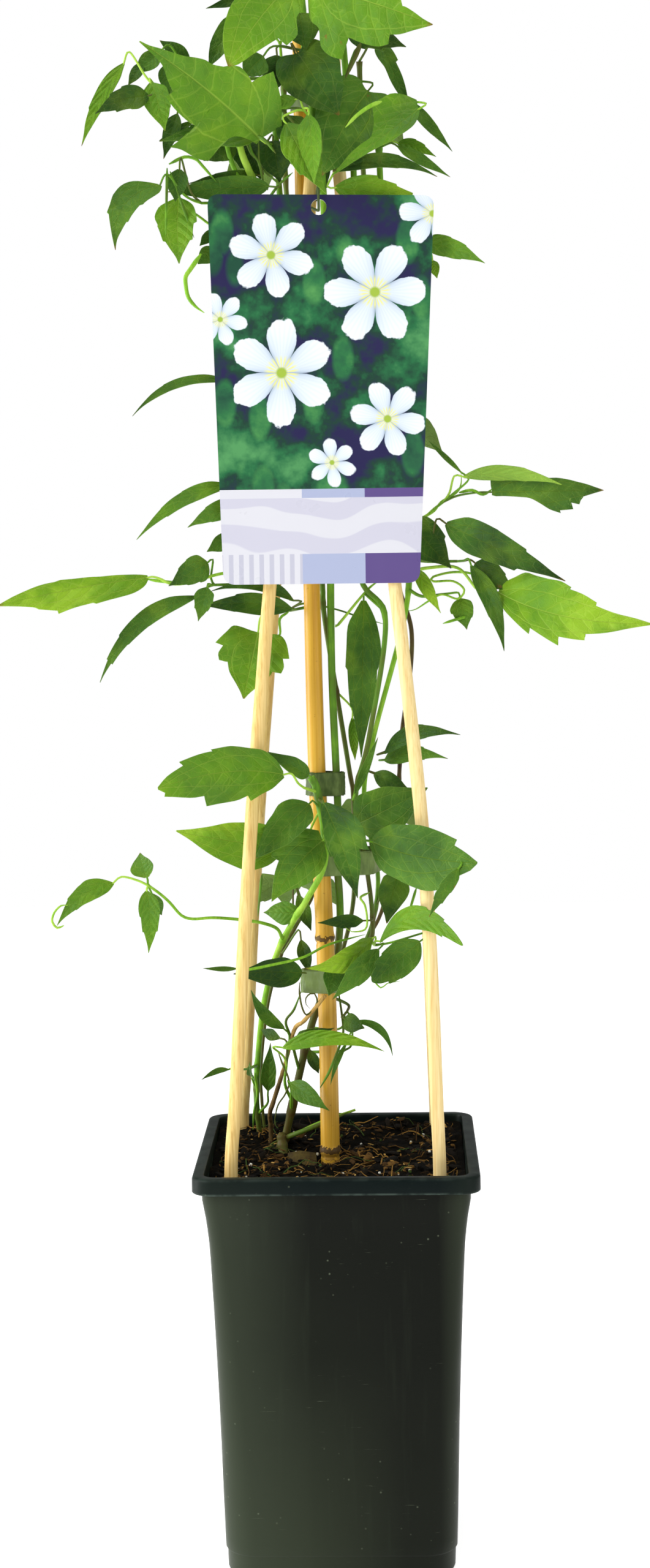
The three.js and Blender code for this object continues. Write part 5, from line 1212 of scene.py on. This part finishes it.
def back_leaf(height, end, heading, length):
    """Spreads the three leaflets of a leaf of the back about its heading."""
    leaflets = []
    for turn, share, outline, tone in BACK_LEAFLETS:
        angle = math.radians(heading + turn)
        size = length * share

        def along(distance, drop):
            return [end[0] + distance * math.cos(angle), end[1] + distance * math.sin(angle),
                    end[2] - drop]

        foot = along(BACK_LEAF_STALKLET, -BACK_LEAF_RISE)
        tip = along(BACK_LEAF_STALKLET + size * BACK_LEAF_REACH, size * BACK_LEAF_DROOP)
        leaflets.append([foot, tip, size * BACK_LEAF_WIDTH, outline, tone, BACK_LEAF_ROLL,
                         BACK_LEAF_ARCH])
    return [height, [end], leaflets]


# Thin pieces that twine or hang, by shoot: [radius, tone, points].
TENDRILS = {
    "shoot_left": [
        [0.7, 0.9, [[2, 9, 434], [3, 6, 434], [14, 4, 447], [19, 5, 452], [24, 8, 455]]],
        [0.5, 0.6, [[-20, 10, 441], [-12, 11, 444], [2, 12, 441], [14, 10, 437], [25, 4, 434]]],
        [1.2, 0.72, [[-36, -14, 622], [-37, -15, 632], [-41, -16, 641], [-43, -18, 648],
                     [-44, -19, 656], [-38, -14, 664], [-23, -4, 672]]],
        [1.8, 0.98, [[-30, -13, 622], [-31, -14, 632], [-34, -16, 639], [-37, -18, 647],
                     [-38, -17, 656], [-33, -10, 662], [-22, -3, 666]]],
        [0.6, 0.5, [[-34, -18, 653], [-32, -18, 646], [-29, -18, 641], [-27, -18, 630]]],
        [0.5, 0.45, [[-29, -18, 651], [-29, -18, 643], [-28, -18, 639], [-27, -18, 632]]],
        [0.7, 0.6, [[-25, -17, 626], [-20, -18, 632], [-14, -18, 637]]],
        [0.9, 0.5, [[-29, -28, 652], [-25, -29, 649], [-21, -28, 644]]],
        [0.8, 0.66, [[-69, -22, 641], [-62, -22, 644], [-57, -22, 643], [-54, -22, 640],
                     [-48, -21, 633]]],
        [0.7, 0.5, [[-8, -4, 218], [-4, -5, 225], [-1, -5, 232], [2, -4, 240], [3, 2, 246],
                    [0, 20, 264]]],
        [0.5, 0.3, [[-17, -4, 268], [-17, -5, 263], [-16, -6, 257], [-14, -6, 253], [-11, -6, 255],
                    [-9, -6, 257], [-9, -6, 261], [-10, -6, 263], [-12, -6, 263], [-14, -6, 261],
                    [-14, -6, 258], [-12, -7, 256]]],
        [0.7, 0.7, [[-19, -16, 441], [-23, -16, 438], [-23, -16, 431], [-26, -16, 429]]],
        [0.8, 0.75, [[-83, -20, 457], [-77, -20, 456], [-66, -20, 455], [-58, -20, 457],
                     [-49, -20, 459]]],
        [1.1, 0.8, [[-55, -27, 601], [-60, -28, 594], [-62, -28, 591], [-62, -28, 587],
                    [-61, -28, 582], [-58, -28, 578], [-54, -28, 575]]],
        [0.7, 0.6, [[-69, -32, 638], [-70, -34, 608]]],
        [0.7, 0.6, [[-68, -28, 637], [-58, -28, 608]]],
        [0.6, 0.75, [[-49, -19, 614], [-52, -20, 615], [-56, -20, 618], [-60, -20, 620],
                     [-67, -20, 618], [-73, -20, 616]]],
    ],
    "shoot_middle": [
        [0.9, 0.45, [[-20, -27, 665], [-17, -28, 662], [-12, -28, 656]]],
        [0.5, 0.35, [[-28, 4, 234], [-26, 4, 228], [-23, 6, 219], [-25, 10, 212], [-29, 14, 205],
                     [-31, 18, 195]]],
        [0.8, 0.55, [[-18, 15, 220], [-22, 6, 240], [-24, 4, 248], [-20, 2, 254], [-16, 1, 264]]],
        [1.3, 0.45, [[-28, 17, 188], [-18, 12, 193], [-10, 12, 196], [5, 14, 202]]],
        [0.7, 0.6, [[15, -16, 691], [10, -18, 679]]],
    ],
    "shoot_front_right": [
        [1.2, 0.35, [[17, -28, 691], [15, -28, 686], [13, -28, 682], [10, -28, 676]]],
        [0.6, 0.9, [[16, 3, 309], [12, -6, 308], [14, -10, 305], [15, -12, 299], [14, -12, 294],
                    [8, -12, 293], [5, -12, 295]]],
        [0.5, 0.85, [[13, 12, 280], [16, -8, 276], [17, -20, 273], [21, -25, 269], [24, -25, 271],
                     [30, -25, 272]]],
    ],
    "shoot_right": [
        [1.0, 0.9, [[26, -39, 664], [21, -40, 662], [15, -40, 658], [10, -40, 653]]],
        [0.6, 0.85, [[66, -16, 452], [65, -14, 457], [56, -10, 458], [47, -10, 456], [47, -12, 454],
                     [56, -14, 454], [61, -14, 450], [58, -14, 446], [51, -12, 448], [45, -8, 445],
                     [39, 0, 441], [34.5, 5, 440]]],
        [0.55, 0.85, [[36, 4, 480], [43, -2, 483], [48, -6, 486], [51, -8, 490], [58, -10, 494],
                      [60, -12, 498], [60, -14, 503]]],
        [0.8, 0.75, [[59, -12, 494], [65, -12, 495], [70, -12, 493], [75, -12, 496]]],
        [0.7, 0.6, [[38, 2, 311], [33, 0, 295]]],
        [0.8, 0.8, [[62, -14, 438], [51, -18, 435]]],
    ],
    "shoot_front_left": [
        [0.6, 0.9, [[-120, -54.5, 304], [-123, -55, 303], [-125, -56, 306], [-124, -56, 310],
                    [-121, -55, 313], [-118, -54, 313]]],
        [0.8, 0.7, [[-40, 20, 220], [-39, 24, 209], [-41, 30, 199], [-42, 34, 189]]],
        [0.7, 0.75, [[-45, -22, 278], [-43, -22, 277], [-30, -20, 279], [-15, -17, 282],
                     [-4, -14, 287], [6, -8, 289], [14, -2, 290]]],
        [0.7, 0.5, [[-33, -20, 321], [-35, -22, 302]]],
    ],
}

STEM_SIDES = 12
# How a shoot's stem swells and darkens at each joint: by how much and over what length.
JOINT_SWELL, JOINT_SHADE = (0.28, 2.2), (0.12, 1.5)
TENDRIL_SIDES = 9
FIBRE_SIDES = 8
# Where fibres fan out at the foot of a shoot: the top of the crown, how far they spread and how
# many there are.
CROWNS = {"shoot_middle": ((-28, 17, 190), 9, 5), "shoot_front_left": ((-38, 37, 187), 6, 3)}
CROWN_TONES = (0.02, 0.08, 0.15, 0.22, 0.4)
# The stub of an old stem beside the foot of a shoot, and a scrap of its dry sheath.
STUB_SHOOT = "shoot_middle"
STUB = [(-27.4, 15.6, 192), (-27.2, 14.6, 188.5), (-26.8, 13, 184.5), (-26.6, 12, 180.5)]
STUB_RADII = [1.1, 2.5, 2.2, 2.7, 2.3, 2.8, 2.4]
STUB_PAINT = (0.3, 0.5, 0.0)
SHEATH = [[(-23.9, 4, 184.7), (-18, 2.4, 186.2), (-10.5, 2, 185.1)],
          [(-24, -2, 180.2), (-17, -3, 182.4), (-10.2, -3.4, 181)],
          [(-23, -8, 176.8), (-16.5, -9, 178.2), (-10.4, -8, 176.7)]]
SHEATH_THICKNESS = 0.5
SHEATH_PAINT = (0.1, 0.4)


def add_crown(piece, top, spread, count, chance):
    """Dry fibres that fan out and down to the soil in front of a crown."""
    x, y, z = top
    for _ in range(count):
        heading, reach = chance.uniform(-2.6, -0.5), chance.uniform(0.3, 1) * spread
        end = np.array([x + reach * math.cos(heading), y + reach * math.sin(heading)])
        bend = end * 0.6 + np.array([x + chance.uniform(-4, 4), y]) * 0.4
        foot = (x + chance.uniform(-1, 1), y + 2, z - 5)
        knee = (x + chance.uniform(-1, 1), y, z - 2)
        elbow = (*bend, z - chance.uniform(3, 7))
        path = smooth_path([foot, knee, elbow, (*end, SOIL_MIDDLE - 1)], 1.2)
        radius = chance.uniform(0.3, 0.7)
        paint = (chance.choice(CROWN_TONES), chance.random(), 0.0)
        radii = np.linspace(radius, radius * 0.3, len(path))
        add_rod(piece, path, radii, FIBRE_SIDES, WOODY, paint)


def near(path, height, reach):
    """How near a path's points are to a height: 1 there, and falling off over a reach."""
    return np.exp(-((path[:, 2] - height) / reach) ** 2)


def shoot_piece(name, course, radii, tones):
    """One shoot: its stem, which swells at each joint, and all that grows on it."""
    chance = random.Random(name)
    piece = Piece(name + "_leafy", [LEAF, STEM])
    stem = smooth_path(course, 2.5)
    rows = LEAVES.get(name, []) + [back_leaf(*row) for row in BACK_LEAVES.get(name, [])]
    joints = [row[0] for row in rows]
    run = np.linspace(0, 1, len(stem))
    width = radii[0] + (radii[1] - radii[0]) * np.sqrt(run)
    for joint in joints:
        width = width * (1 + JOINT_SWELL[0] * near(stem, joint, JOINT_SWELL[1]))
    points, faces = loft(tube(stem, width, STEM_SIDES))
    tone = np.interp(stem[:, 2], *zip(*tones))
    for joint in joints:
        tone = tone - JOINT_SHADE[0] * near(stem, joint, JOINT_SHADE[1])
    tone = np.concatenate([np.repeat(tone, STEM_SIDES), tone[[0, -1]]])
    paint = np.stack([tone, np.full(len(tone), chance.random()), np.zeros(len(tone))], axis=1)
    piece.add(points, faces, WOODY, paint)
    for row in rows:
        add_leaf(piece, stem, row, chance)
    for radius, tone, points in TENDRILS.get(name, []):
        path = smooth_path(points, 1.5)
        run = np.linspace(0, 1, len(path))
        taper = np.minimum(1 - 0.3 * run, 0.15 + 3 * (1 - run))
        taper = np.minimum(taper, 0.35 + 5 * run)
        paint = (tone, chance.random(), 0.0)
        add_rod(piece, path, radius * taper, TENDRIL_SIDES, WOODY, paint)
    if name in CROWNS:
        add_crown(piece, *CROWNS[name], chance)
    if name == STUB_SHOOT:
        path = smooth_path(STUB, 0.6)
        run = np.linspace(0, 1, len(path))
        radii = np.interp(run, np.linspace(0, 1, len(STUB_RADII)), STUB_RADII)
        add_rod(piece, path, radii, STEM_SIDES, WOODY, STUB_PAINT)
        add_sheet(piece, np.array(SHEATH, float), SHEATH_THICKNESS, WOODY, SHEATH_PAINT)
    return piece.make("leafy_shoot", name)


# ---- Pot and soil ------------------------------------------------------------------------

GAP = 0.3
POT_HEIGHT = 190
POT_WALL = 1.2
POT_FLOOR = 2.2
RIM_HALF = 65
RIM_SKIRT = 7.6
RIM_EDGE = 1.2
RIM_ROUNDING = 2
NECK_FLARE = 0.4
DRAIN_OFFSET = 28
DRAIN_RADIUS = 4.5
DRAIN_SIDES = 28
# Steps round each corner and along each side of the pot's rings and of the soil's.
POT_STEPS, SOIL_STEPS = (12, 8), (6, 40)
# The pot's outside below its rim: [height, half width, corner radius].
POT_FOOT = [[0, 51.6, 14], [0.3, 52.2, 14.6], [1.2, 52.6, 15], [9.8, 52.85, 15], [10.2, 52.95, 15],
            [10.8, 53.5, 15]]
POT_BODY = [[11, 53.6, 15], [30, 54.1, 14.6], [75, 55.1, 12.5], [115, 56.3, 10], [150, 57.6, 7.5],
            [160, 58.2, 6.8], [170, 59.3, 6.7], [178, 60.6, 6.8]]


def pot_piece():
    body = smooth_path(POT_BODY, 6)
    outside = [square_ring(half, corner, z, *POT_STEPS) for z, half, corner in [*POT_FOOT, *body]]
    neck, neck_corner = POT_BODY[-1][1:]
    corner = neck_corner + RIM_ROUNDING
    skirt_foot, under = POT_HEIGHT - RIM_SKIRT, POT_HEIGHT - POT_WALL
    rim = [square_ring(half, round_, z, *POT_STEPS) for z, half, round_ in (
        (under - 0.6, neck + NECK_FLARE * 0.4, neck_corner),
        (under, neck + NECK_FLARE + 0.8, neck_corner + 0.5),
        (under, RIM_HALF - RIM_EDGE - 0.4, corner),
        (under - 0.4, RIM_HALF - RIM_EDGE, corner),
        (skirt_foot + 0.2, RIM_HALF - RIM_EDGE, corner),
        (skirt_foot, RIM_HALF - RIM_EDGE + 0.2, corner + 0.2),
        (skirt_foot, RIM_HALF - 0.3, corner + 0.4),
        (skirt_foot + 0.3, RIM_HALF, corner + 0.6),
        (POT_HEIGHT - 1.4, RIM_HALF - 0.05, corner + 0.6),
        (POT_HEIGHT - 0.7, RIM_HALF - 0.25, corner + 0.5),
        (POT_HEIGHT - 0.2, RIM_HALF - 0.75, corner + 0.2),
        (POT_HEIGHT, RIM_HALF - 1.4, corner - 0.2),
        (POT_HEIGHT, neck + 0.9 - POT_WALL, neck_corner - 0.6),
        (POT_HEIGHT - 0.2, neck + 0.3 - POT_WALL, neck_corner - POT_WALL),
        (POT_HEIGHT - 1, neck + 0.1 - POT_WALL, neck_corner - POT_WALL))]
    inside = [square_ring(half - POT_WALL, round_ - POT_WALL, z, *POT_STEPS)
              for z, half, round_ in reversed(body)]
    floor = POT_FOOT[2]
    inside.append(square_ring(floor[1] - POT_WALL - 0.4, floor[2] - POT_WALL, POT_FLOOR,
                              *POT_STEPS))
    piece = Piece("pot_shell", [pot_material()])
    piece.add(*loft([*outside, *rim, *inside]))
    pot = piece.make("pot", "pot", sharp=40)
    cutter = Piece("pot_drains", [])
    for side_x in (-1, 1):
        for side_y in (-1, 1):
            angles = np.arange(DRAIN_SIDES) / DRAIN_SIDES * 2 * math.pi
            ring = np.stack([side_x * DRAIN_OFFSET + DRAIN_RADIUS * np.cos(angles),
                             side_y * DRAIN_OFFSET + DRAIN_RADIUS * np.sin(angles)], axis=1)
            cutter.add(*loft([np.column_stack([ring, np.full(DRAIN_SIDES, z)])
                              for z in (-2.0, 2 * POT_FLOOR)]))
    cut_away(pot, cutter)


def cut_away(piece, cutter):
    tool = cutter.place(cutter.shape())
    cut = piece.modifiers.new("cut", "BOOLEAN")
    cut.object = tool
    cut.operation = "DIFFERENCE"
    cut.solver = "EXACT"
    bpy.context.view_layer.update()
    scene = bpy.context.evaluated_depsgraph_get()
    result = bpy.data.meshes.new_from_object(piece.evaluated_get(scene))
    piece.modifiers.clear()
    piece.data = result
    bpy.data.objects.remove(tool)


SOIL_MIDDLE = 183
SOIL_RISE = 0.06  # towards the back
SOIL_BUMP = 1.1
SOIL_RINGS = 52
SOIL_LUMPS = 1.3
# How many chips of bark, short flakes of straw, crumbs of moss and grit, and fibres lie on it,
# each with their least and greatest size and the tones they are drawn from.
BARK = (560, (1.2, 3.4), (0.0, 0.03, 0.06, 0.1, 0.14, 0.2, 0.3, 0.42))
FLAKES = (260, (0.5, 1.3), (0.3, 0.4, 0.46, 0.52, 0.58, 0.64))
GRIT = (60, (0.7, 1.7), (0.7, 0.8, 0.92, 1.0))
FIBRES = (220, (4, 17), (0.2, 0.28, 0.34, 0.42, 0.5, 0.56, 0.8))
# How many of the chips of bark are larger than the rest, and how much.
LARGE_BARK, LARGER = 0.12, 1.6
CHIP_SIDES = 8
# A chip's rings: how far up each is as a share of its thickness, and its width.
CHIP_RINGS = ((-0.5, 0.75), (-0.1, 1.0), (0.2, 0.95), (0.5, 0.6))
STRAND_SIDES, STRAND_STEPS = 5, 5
CANE_CLEARANCE = 8
# The hollow round the cane: its middle, depth and reach.
HOLLOW = ((-3.9, 3), 4.5, 9)


def soil_height(x, y):
    wave = math.sin(x / 7.3 + 1) * math.cos(y / 6.1)
    crumb = 0.6 * math.sin(x / 3.9 - y / 4.7)
    return SOIL_MIDDLE + SOIL_RISE * y + SOIL_BUMP * (wave + crumb)


def soil_top(x, y):
    """The soil's crumbly surface, close about the even one."""
    lumps = noise.fractal(Vector((x, y, 0)) / 7, 0.8, 2.0, 4)
    (hollow_x, hollow_y), depth, wide = HOLLOW
    hollow = depth * math.exp(-(math.hypot(x - hollow_x, y - hollow_y) / wide) ** 2)
    return soil_height(x, y) + SOIL_LUMPS * lumps - hollow


def soil_pieces():
    half, corner = POT_BODY[-1][1] - POT_WALL - GAP, POT_BODY[-1][2] - POT_WALL
    foot = POT_FOOT[2]
    rings = [square_ring(foot[1] - POT_WALL - GAP - 1, foot[2] - POT_WALL, POT_FLOOR + GAP,
                         *SOIL_STEPS)]
    for z, wide, round_ in POT_BODY[:-2]:
        rings.append(square_ring(wide - POT_WALL - GAP, round_ - POT_WALL, z, *SOIL_STEPS))
    for share in np.linspace(1, 0.02, SOIL_RINGS):
        ring = square_ring(half * share, corner * share, 0, *SOIL_STEPS)
        ring[:, 2] = [soil_top(x, y) for x, y, _ in ring]
        rings.append(ring)
    bed = Piece("soil_bed", [soil_material()])
    bed.add(*loft(rings))
    bed.make("soil", "soil")

    chance = random.Random("crumb")
    clutter = Piece("soil_clutter", [crumb_material()])
    reach = half - 4

    def spot():
        while True:
            x, y = chance.uniform(-reach, reach), chance.uniform(-reach, reach)
            if math.dist((x, y), HOLLOW[0]) > CANE_CLEARANCE:
                return x, y, soil_top(x, y)

    def tumbled(points, place, flat):
        """Turns a small thing about at random, nearly level if flat, and sets it down."""
        lean = Quaternion((chance.gauss(0, 1), chance.gauss(0, 1), 0.01), chance.gauss(0, flat))
        turn = lean @ Quaternion((0, 0, 1), chance.uniform(*ANY_TURN))
        return [Vector(place) + turn @ Vector(p) for p in points]

    def add_chip(place, size, thick, tone, long):
        rim = [chance.uniform(0.7, 1.1) for _ in range(CHIP_SIDES)]
        rings = []
        for level, shrink in CHIP_RINGS:
            ring = []
            for i, bulge in enumerate(rim):
                angle, out = i / CHIP_SIDES * FULL_TURN, size / 2 * shrink * bulge
                ring.append((long * out * math.cos(angle), out * math.sin(angle),
                             thick * level + 0.15 * thick * chance.uniform(-1, 1)))
            rings.append(ring)
        points, faces = loft(rings)
        clutter.add([tuple(p) for p in tumbled(points, place, 0.45)], faces, 0,
                    (tone, chance.random(), 0.0))

    count, sizes, tones = BARK
    for _ in range(count):
        x, y, z = spot()
        size = chance.uniform(*sizes) * (LARGER if chance.random() < LARGE_BARK else 1)
        add_chip((x, y, z + size * 0.12), size, size * chance.uniform(0.25, 0.5),
                 chance.choice(tones), chance.uniform(1.1, 2.8))
    count, sizes, tones = FLAKES
    for _ in range(count):
        x, y, z = spot()
        size = chance.uniform(*sizes)
        add_chip((x, y, z + 0.8 + 1.5 * chance.random() ** 2), size, size * 0.3,
                 chance.choice(tones), chance.uniform(2, 5))
    count, sizes, tones = GRIT
    for _ in range(count):
        x, y, z = spot()
        size = chance.uniform(*sizes)
        add_chip((x, y, z + size * 0.35), size, size * 0.8, chance.choice(tones), 1.1)
    count, sizes, tones = FIBRES
    for _ in range(count):
        x, y, z = spot()
        length = chance.uniform(*sizes)
        heading = chance.uniform(*ANY_TURN)
        bend = chance.gauss(0, 0.5)
        rise = chance.uniform(0, 1) ** 3 * 5
        path, at = [], np.array([x, y])
        for step in range(STRAND_STEPS + 1):
            share = step / STRAND_STEPS
            px, py = np.clip(at, -reach, reach)
            lift = 0.5 + 1.6 * math.sin(share * math.pi) * chance.random() + rise * share
            path.append((px, py, soil_top(px, py) + lift))
            at = at + length / STRAND_STEPS * np.array([math.cos(heading), math.sin(heading)])
            heading += bend * 0.4
        fine = smooth_path(path, 1.8)
        radius = chance.uniform(0.14, 0.36)
        paint = (chance.choice(tones), chance.random(), 0.0)
        radii = np.linspace(radius, radius * 0.5, len(fine))
        add_rod(clutter, fine, radii, STRAND_SIDES, 0, paint)
    clutter.make("soil")


# ---- Stakes, cane, tapes and label -------------------------------------------------------

STAKE_RADIUS = 3
STAKE_SIDES = 22
STAKE_BEVEL = 0.35
STAKE_CENTRE_Y = 2
STAKE_TONES = {"left": 0.2, "right": 0.8}
# A stake's course: [height, distance of its axis from the middle, along X and along Y].
STAKE_LEFT = [[120, 47.6], [186, 47.9], [220, 45.5], [287, 41], [353, 36], [455, 26.7], [520, 19.5],
              [580, 12.4], [630, 7], [668, 4.7], [692, 4.6]]
STAKE_RIGHT = [[120, 47.2], [185, 46.9], [220, 45.8], [287, 43.7], [353, 39.8], [452, 29.6],
               [520, 21], [580, 13], [630, 7.2], [668, 4.7], [694, 4.6]]
CANE_RADII = (4.5, 3.2)
CANE_NODES = (186, 288, 505, 650)
CANE_SIDES = 28
CANE_BEVEL = 0.5
# A cane node's ring and the groove below it: height or depth, reach and drop.
NODE_RING, NODE_GROOVE = (0.55, 1.6, 0), (-0.35, 0.7, 2.4)
CANE_COURSE = [[-4, 4, 60], [-3.9, 4, 176], [-4.6, 3.3, 270], [-7.7, 3, 369], [-8.8, 3, 451],
               [-10, 3, 560], [-10.9, 3, 702]]
DEAD_STEM_COURSE = [[-34, 30, 150], [-33, 27, 189], [-33, 19, 200], [-31, 14, 207], [-25, 9, 226],
                    [-20, 4, 244], [-15, -4.5, 250], [-5, -6, 262]]
DEAD_STEM_RADII = (1.2, 0.9)
DEAD_STEM_SIDES = 9


def stake_pieces():
    finish = stake_material()
    for depth_name, side_y in (("front", -1), ("back", 1)):
        for side_name, side_x, course in (("left", -1, STAKE_LEFT), ("right", 1, STAKE_RIGHT)):
            name = f"stake_{depth_name}_{side_name}"
            chance = random.Random(name)
            path = smooth_path([(side_x * reach, STAKE_CENTRE_Y + side_y * reach, z)
                                for z, reach in course], 5)
            shift = chance.uniform(0, 40)
            radii = np.array([STAKE_RADIUS + 0.12 * noise.noise(Vector((shift, 0, z / 30)))
                              for z in path[:, 2]])
            path, radii = rounded_ends(path, radii, STAKE_BEVEL)
            piece = Piece(name + "_split", [finish])
            paint = (STAKE_TONES[side_name], chance.random(), 0.0)
            add_rod(piece, path, radii, STAKE_SIDES, 0, paint)
            piece.make("stake", name)


def cane_piece():
    path = smooth_path(CANE_COURSE, 2)
    extra = []
    for height in CANE_NODES:
        extra += [along_height(path, height + step) for step in np.arange(-5, 5.1, 0.5)]
    path = np.array(sorted([*map(tuple, path), *map(tuple, extra)], key=lambda point: point[2]))
    path = path[np.concatenate([[True], np.diff(path[:, 2]) > 0.2])]
    share = np.clip((path[:, 2] - CANE_NODES[0]) / (path[-1, 2] - CANE_NODES[0]), 0, 1)
    radii = CANE_RADII[0] + (CANE_RADII[1] - CANE_RADII[0]) * share
    for height in CANE_NODES:
        for rise, reach, drop in (NODE_RING, NODE_GROOVE):
            radii = radii + rise * near(path, height - drop, reach)
    path, radii = rounded_ends(path, radii, CANE_BEVEL)
    piece = Piece("cane_culm", [cane_material()])
    add_rod(piece, path, radii, CANE_SIDES)
    piece.make("cane", "cane")


def dead_stem_piece():
    chance = random.Random("dead_stem")
    path = smooth_path(DEAD_STEM_COURSE, 1.8)
    knobs = np.array([chance.uniform(0.9, 1.12) for _ in path])
    radii = np.linspace(*DEAD_STEM_RADII, len(path)) * knobs
    piece = Piece("dead_stem_bark", [twig_material()])
    add_rod(piece, path, radii, DEAD_STEM_SIDES)
    piece.make("dead_stem", "dead_stem")


TAPE_WIDTH = 11
TAPE_THICKNESS = 0.4
TAPE_SLACK = 0.45
TAPE_TURNS = 2
TAPE_WAYS, TAPE_ROWS = 96, 10
# How far a turn of tape leans, how deep its broad and fine creases are, how far its edges ruffle,
# and how much further out and narrower the second turn is.
TAPE_LEAN, TAPE_CREASES, TAPE_RUFFLE = 0.03, (0.22, 0.1), 0.35
TAPE_TURN_OUT, TAPE_TURN_NARROWER = 0.5, 0.06
# Each tape: its node, the height of its middle, what it is pulled round as [x, y, radius], and
# its tone.
TAPES = [
    ["tape_low", 267.5, [[-4.6, 3.3, 4.5], [-3, 12.2, 4.3], [-14, 2, 1.5]], 0.75],
    ["tape_middle", 323, [[-6.3, 3.1, 4.3], [8.6, 13.6, 2.4], [18.9, 16.4, 2.5], [15.5, 3.5, 2.2]],
     0.6],
    ["tape_high", 360.5, [[-7.5, 3, 4.2], [1.7, 2, 2.5]], 0.45],
    ["tape_top", 672, [[-10.8, 3, 3.4], [-4.7, -2.7, 3.1], [4.7, -2.7, 3.1], [4.7, 6.7, 3.1],
                       [-4.7, 6.7, 3.1]], 0.5],
]


def tape_piece(name, middle, posts, tone, finish):
    """Two turns of a soft tape pulled round some posts, a little askew and creased."""
    chance = random.Random(name)
    piece = Piece(name + "_wound", [finish])
    angles = np.arange(TAPE_WAYS) / TAPE_WAYS * 2 * math.pi
    ways = np.stack([np.cos(angles), np.sin(angles)], axis=1)
    posts = np.array(posts, float)
    pulls = ways @ posts[:, :2].T + posts[:, 2]
    best = pulls.argmax(axis=1)
    for turn in range(TAPE_TURNS):
        tilt, heading = chance.uniform(-TAPE_LEAN, TAPE_LEAN), chance.uniform(*ANY_TURN)
        rows = []
        for share in np.linspace(-0.5, 0.5, TAPE_ROWS):
            row = []
            for i, way in enumerate(ways):
                place = Vector((angles[i] * 3, share * 5, turn * 9 + len(name)))
                crease = (TAPE_CREASES[0] * noise.noise(place)
                          + TAPE_CREASES[1] * noise.noise(place * 3))
                out = posts[best[i], 2] + TAPE_SLACK + TAPE_TURN_OUT * turn + crease * (1 + turn)
                x, y = posts[best[i], :2] + way * out
                ruffle = noise.noise(Vector((angles[i] * 2.3, share * 2, 30 + turn)))
                z = middle + TAPE_WIDTH * share * (1 - TAPE_TURN_NARROWER * turn)
                z += TAPE_RUFFLE * ruffle
                z += tilt * (x * math.cos(heading) + y * math.sin(heading))
                row.append((x, y, z))
            rows.append(row)
        add_sheet(piece, np.array(rows), TAPE_THICKNESS, 0, (tone, chance.random()), joined=True)
    piece.make("tie_tape", name)


LABEL_TIE_COURSE = [[-2.5, -27.2, 620], [-2.5, -28.2, 623], [-2.5, -27.5, 628.5],
                    [-2.9, -24, 629.5], [-3.6, -12, 628], [-3.2, -5, 627], [-5, -1, 626.5],
                    [-8.7, -1.3, 626], [-12, -4.5, 625], [-11, -9.5, 624], [-7, -16, 622],
                    [-3, -23.6, 619.5]]
LABEL_TIE_RADIUS = 0.6
LABEL_TIE_SIDES = 9
LABEL_TIE_PAINT = (0.35, 0.5, 0.0)


def label_tie_piece(finish):
    """The tie's closed round, cut from the middle of three rounds so that its ends meet."""
    thrice = np.array(LABEL_TIE_COURSE * 3, float)
    path = smooth_path(thrice, 1.0)
    fifth, half = len(path) // 5, len(path) // 2
    start, end = (int(np.argmin(np.linalg.norm(path[low:high] - thrice[0], axis=1)) + low)
                  for low, high in ((fifth, half), (half, 4 * len(path) // 5)))
    path = path[start:end]
    rings = tube(path, np.full(len(path), LABEL_TIE_RADIUS), LABEL_TIE_SIDES, joined=True)
    count = len(rings) * LABEL_TIE_SIDES
    faces = [tuple(i % count for i in face)
             for face in band_faces(len(rings) + 1, LABEL_TIE_SIDES, True)]
    piece = Piece("label_tie_loop", [finish])
    piece.add(rings.reshape(-1, 3), faces, 0, LABEL_TIE_PAINT)
    piece.make("tie_tape", "label_tie")


# ---- The scene ---------------------------------------------------------------------------

def make_floor():
    mesh = bpy.data.meshes.new("floor")
    steps = np.linspace(-FLOOR_SIDE / 2, FLOOR_SIDE / 2, FLOOR_LINES)
    points = [(x, y, 0) for y in steps for x in steps]
    mesh.from_pydata(points, [], band_faces(FLOOR_LINES, FLOOR_LINES, False))
    s = Shader("floor", Roughness=0.9, Specular_IOR_Level=0.1, Emission_Strength=FLOOR_GLOW)
    s.put(s.surface.inputs["Emission Color"], (1, 1, 1, 1))
    shade = s.mix(s.cloud(s.here(), 3), tint(246, 246, 246), tint(250, 250, 250))
    mesh.materials.append(s.finish(shade))
    floor = bpy.data.objects.new("floor", mesh)
    bpy.context.scene.collection.objects.link(floor)


make_camera()
make_world()
for lamp in LAMPS:
    make_light(*lamp)
make_floor()
LEAF, STEM = leaf_material(), stem_material()
pot_piece()
soil_pieces()
stake_pieces()
cane_piece()
dead_stem_piece()
for shoot in SHOOTS:
    shoot_piece(*shoot)
TAPE = tape_material()
for tape in TAPES:
    tape_piece(*tape, TAPE)
label_tie_piece(TAPE)
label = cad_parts["label"]
label.data.materials.clear()
label.data.materials.append(label_material())
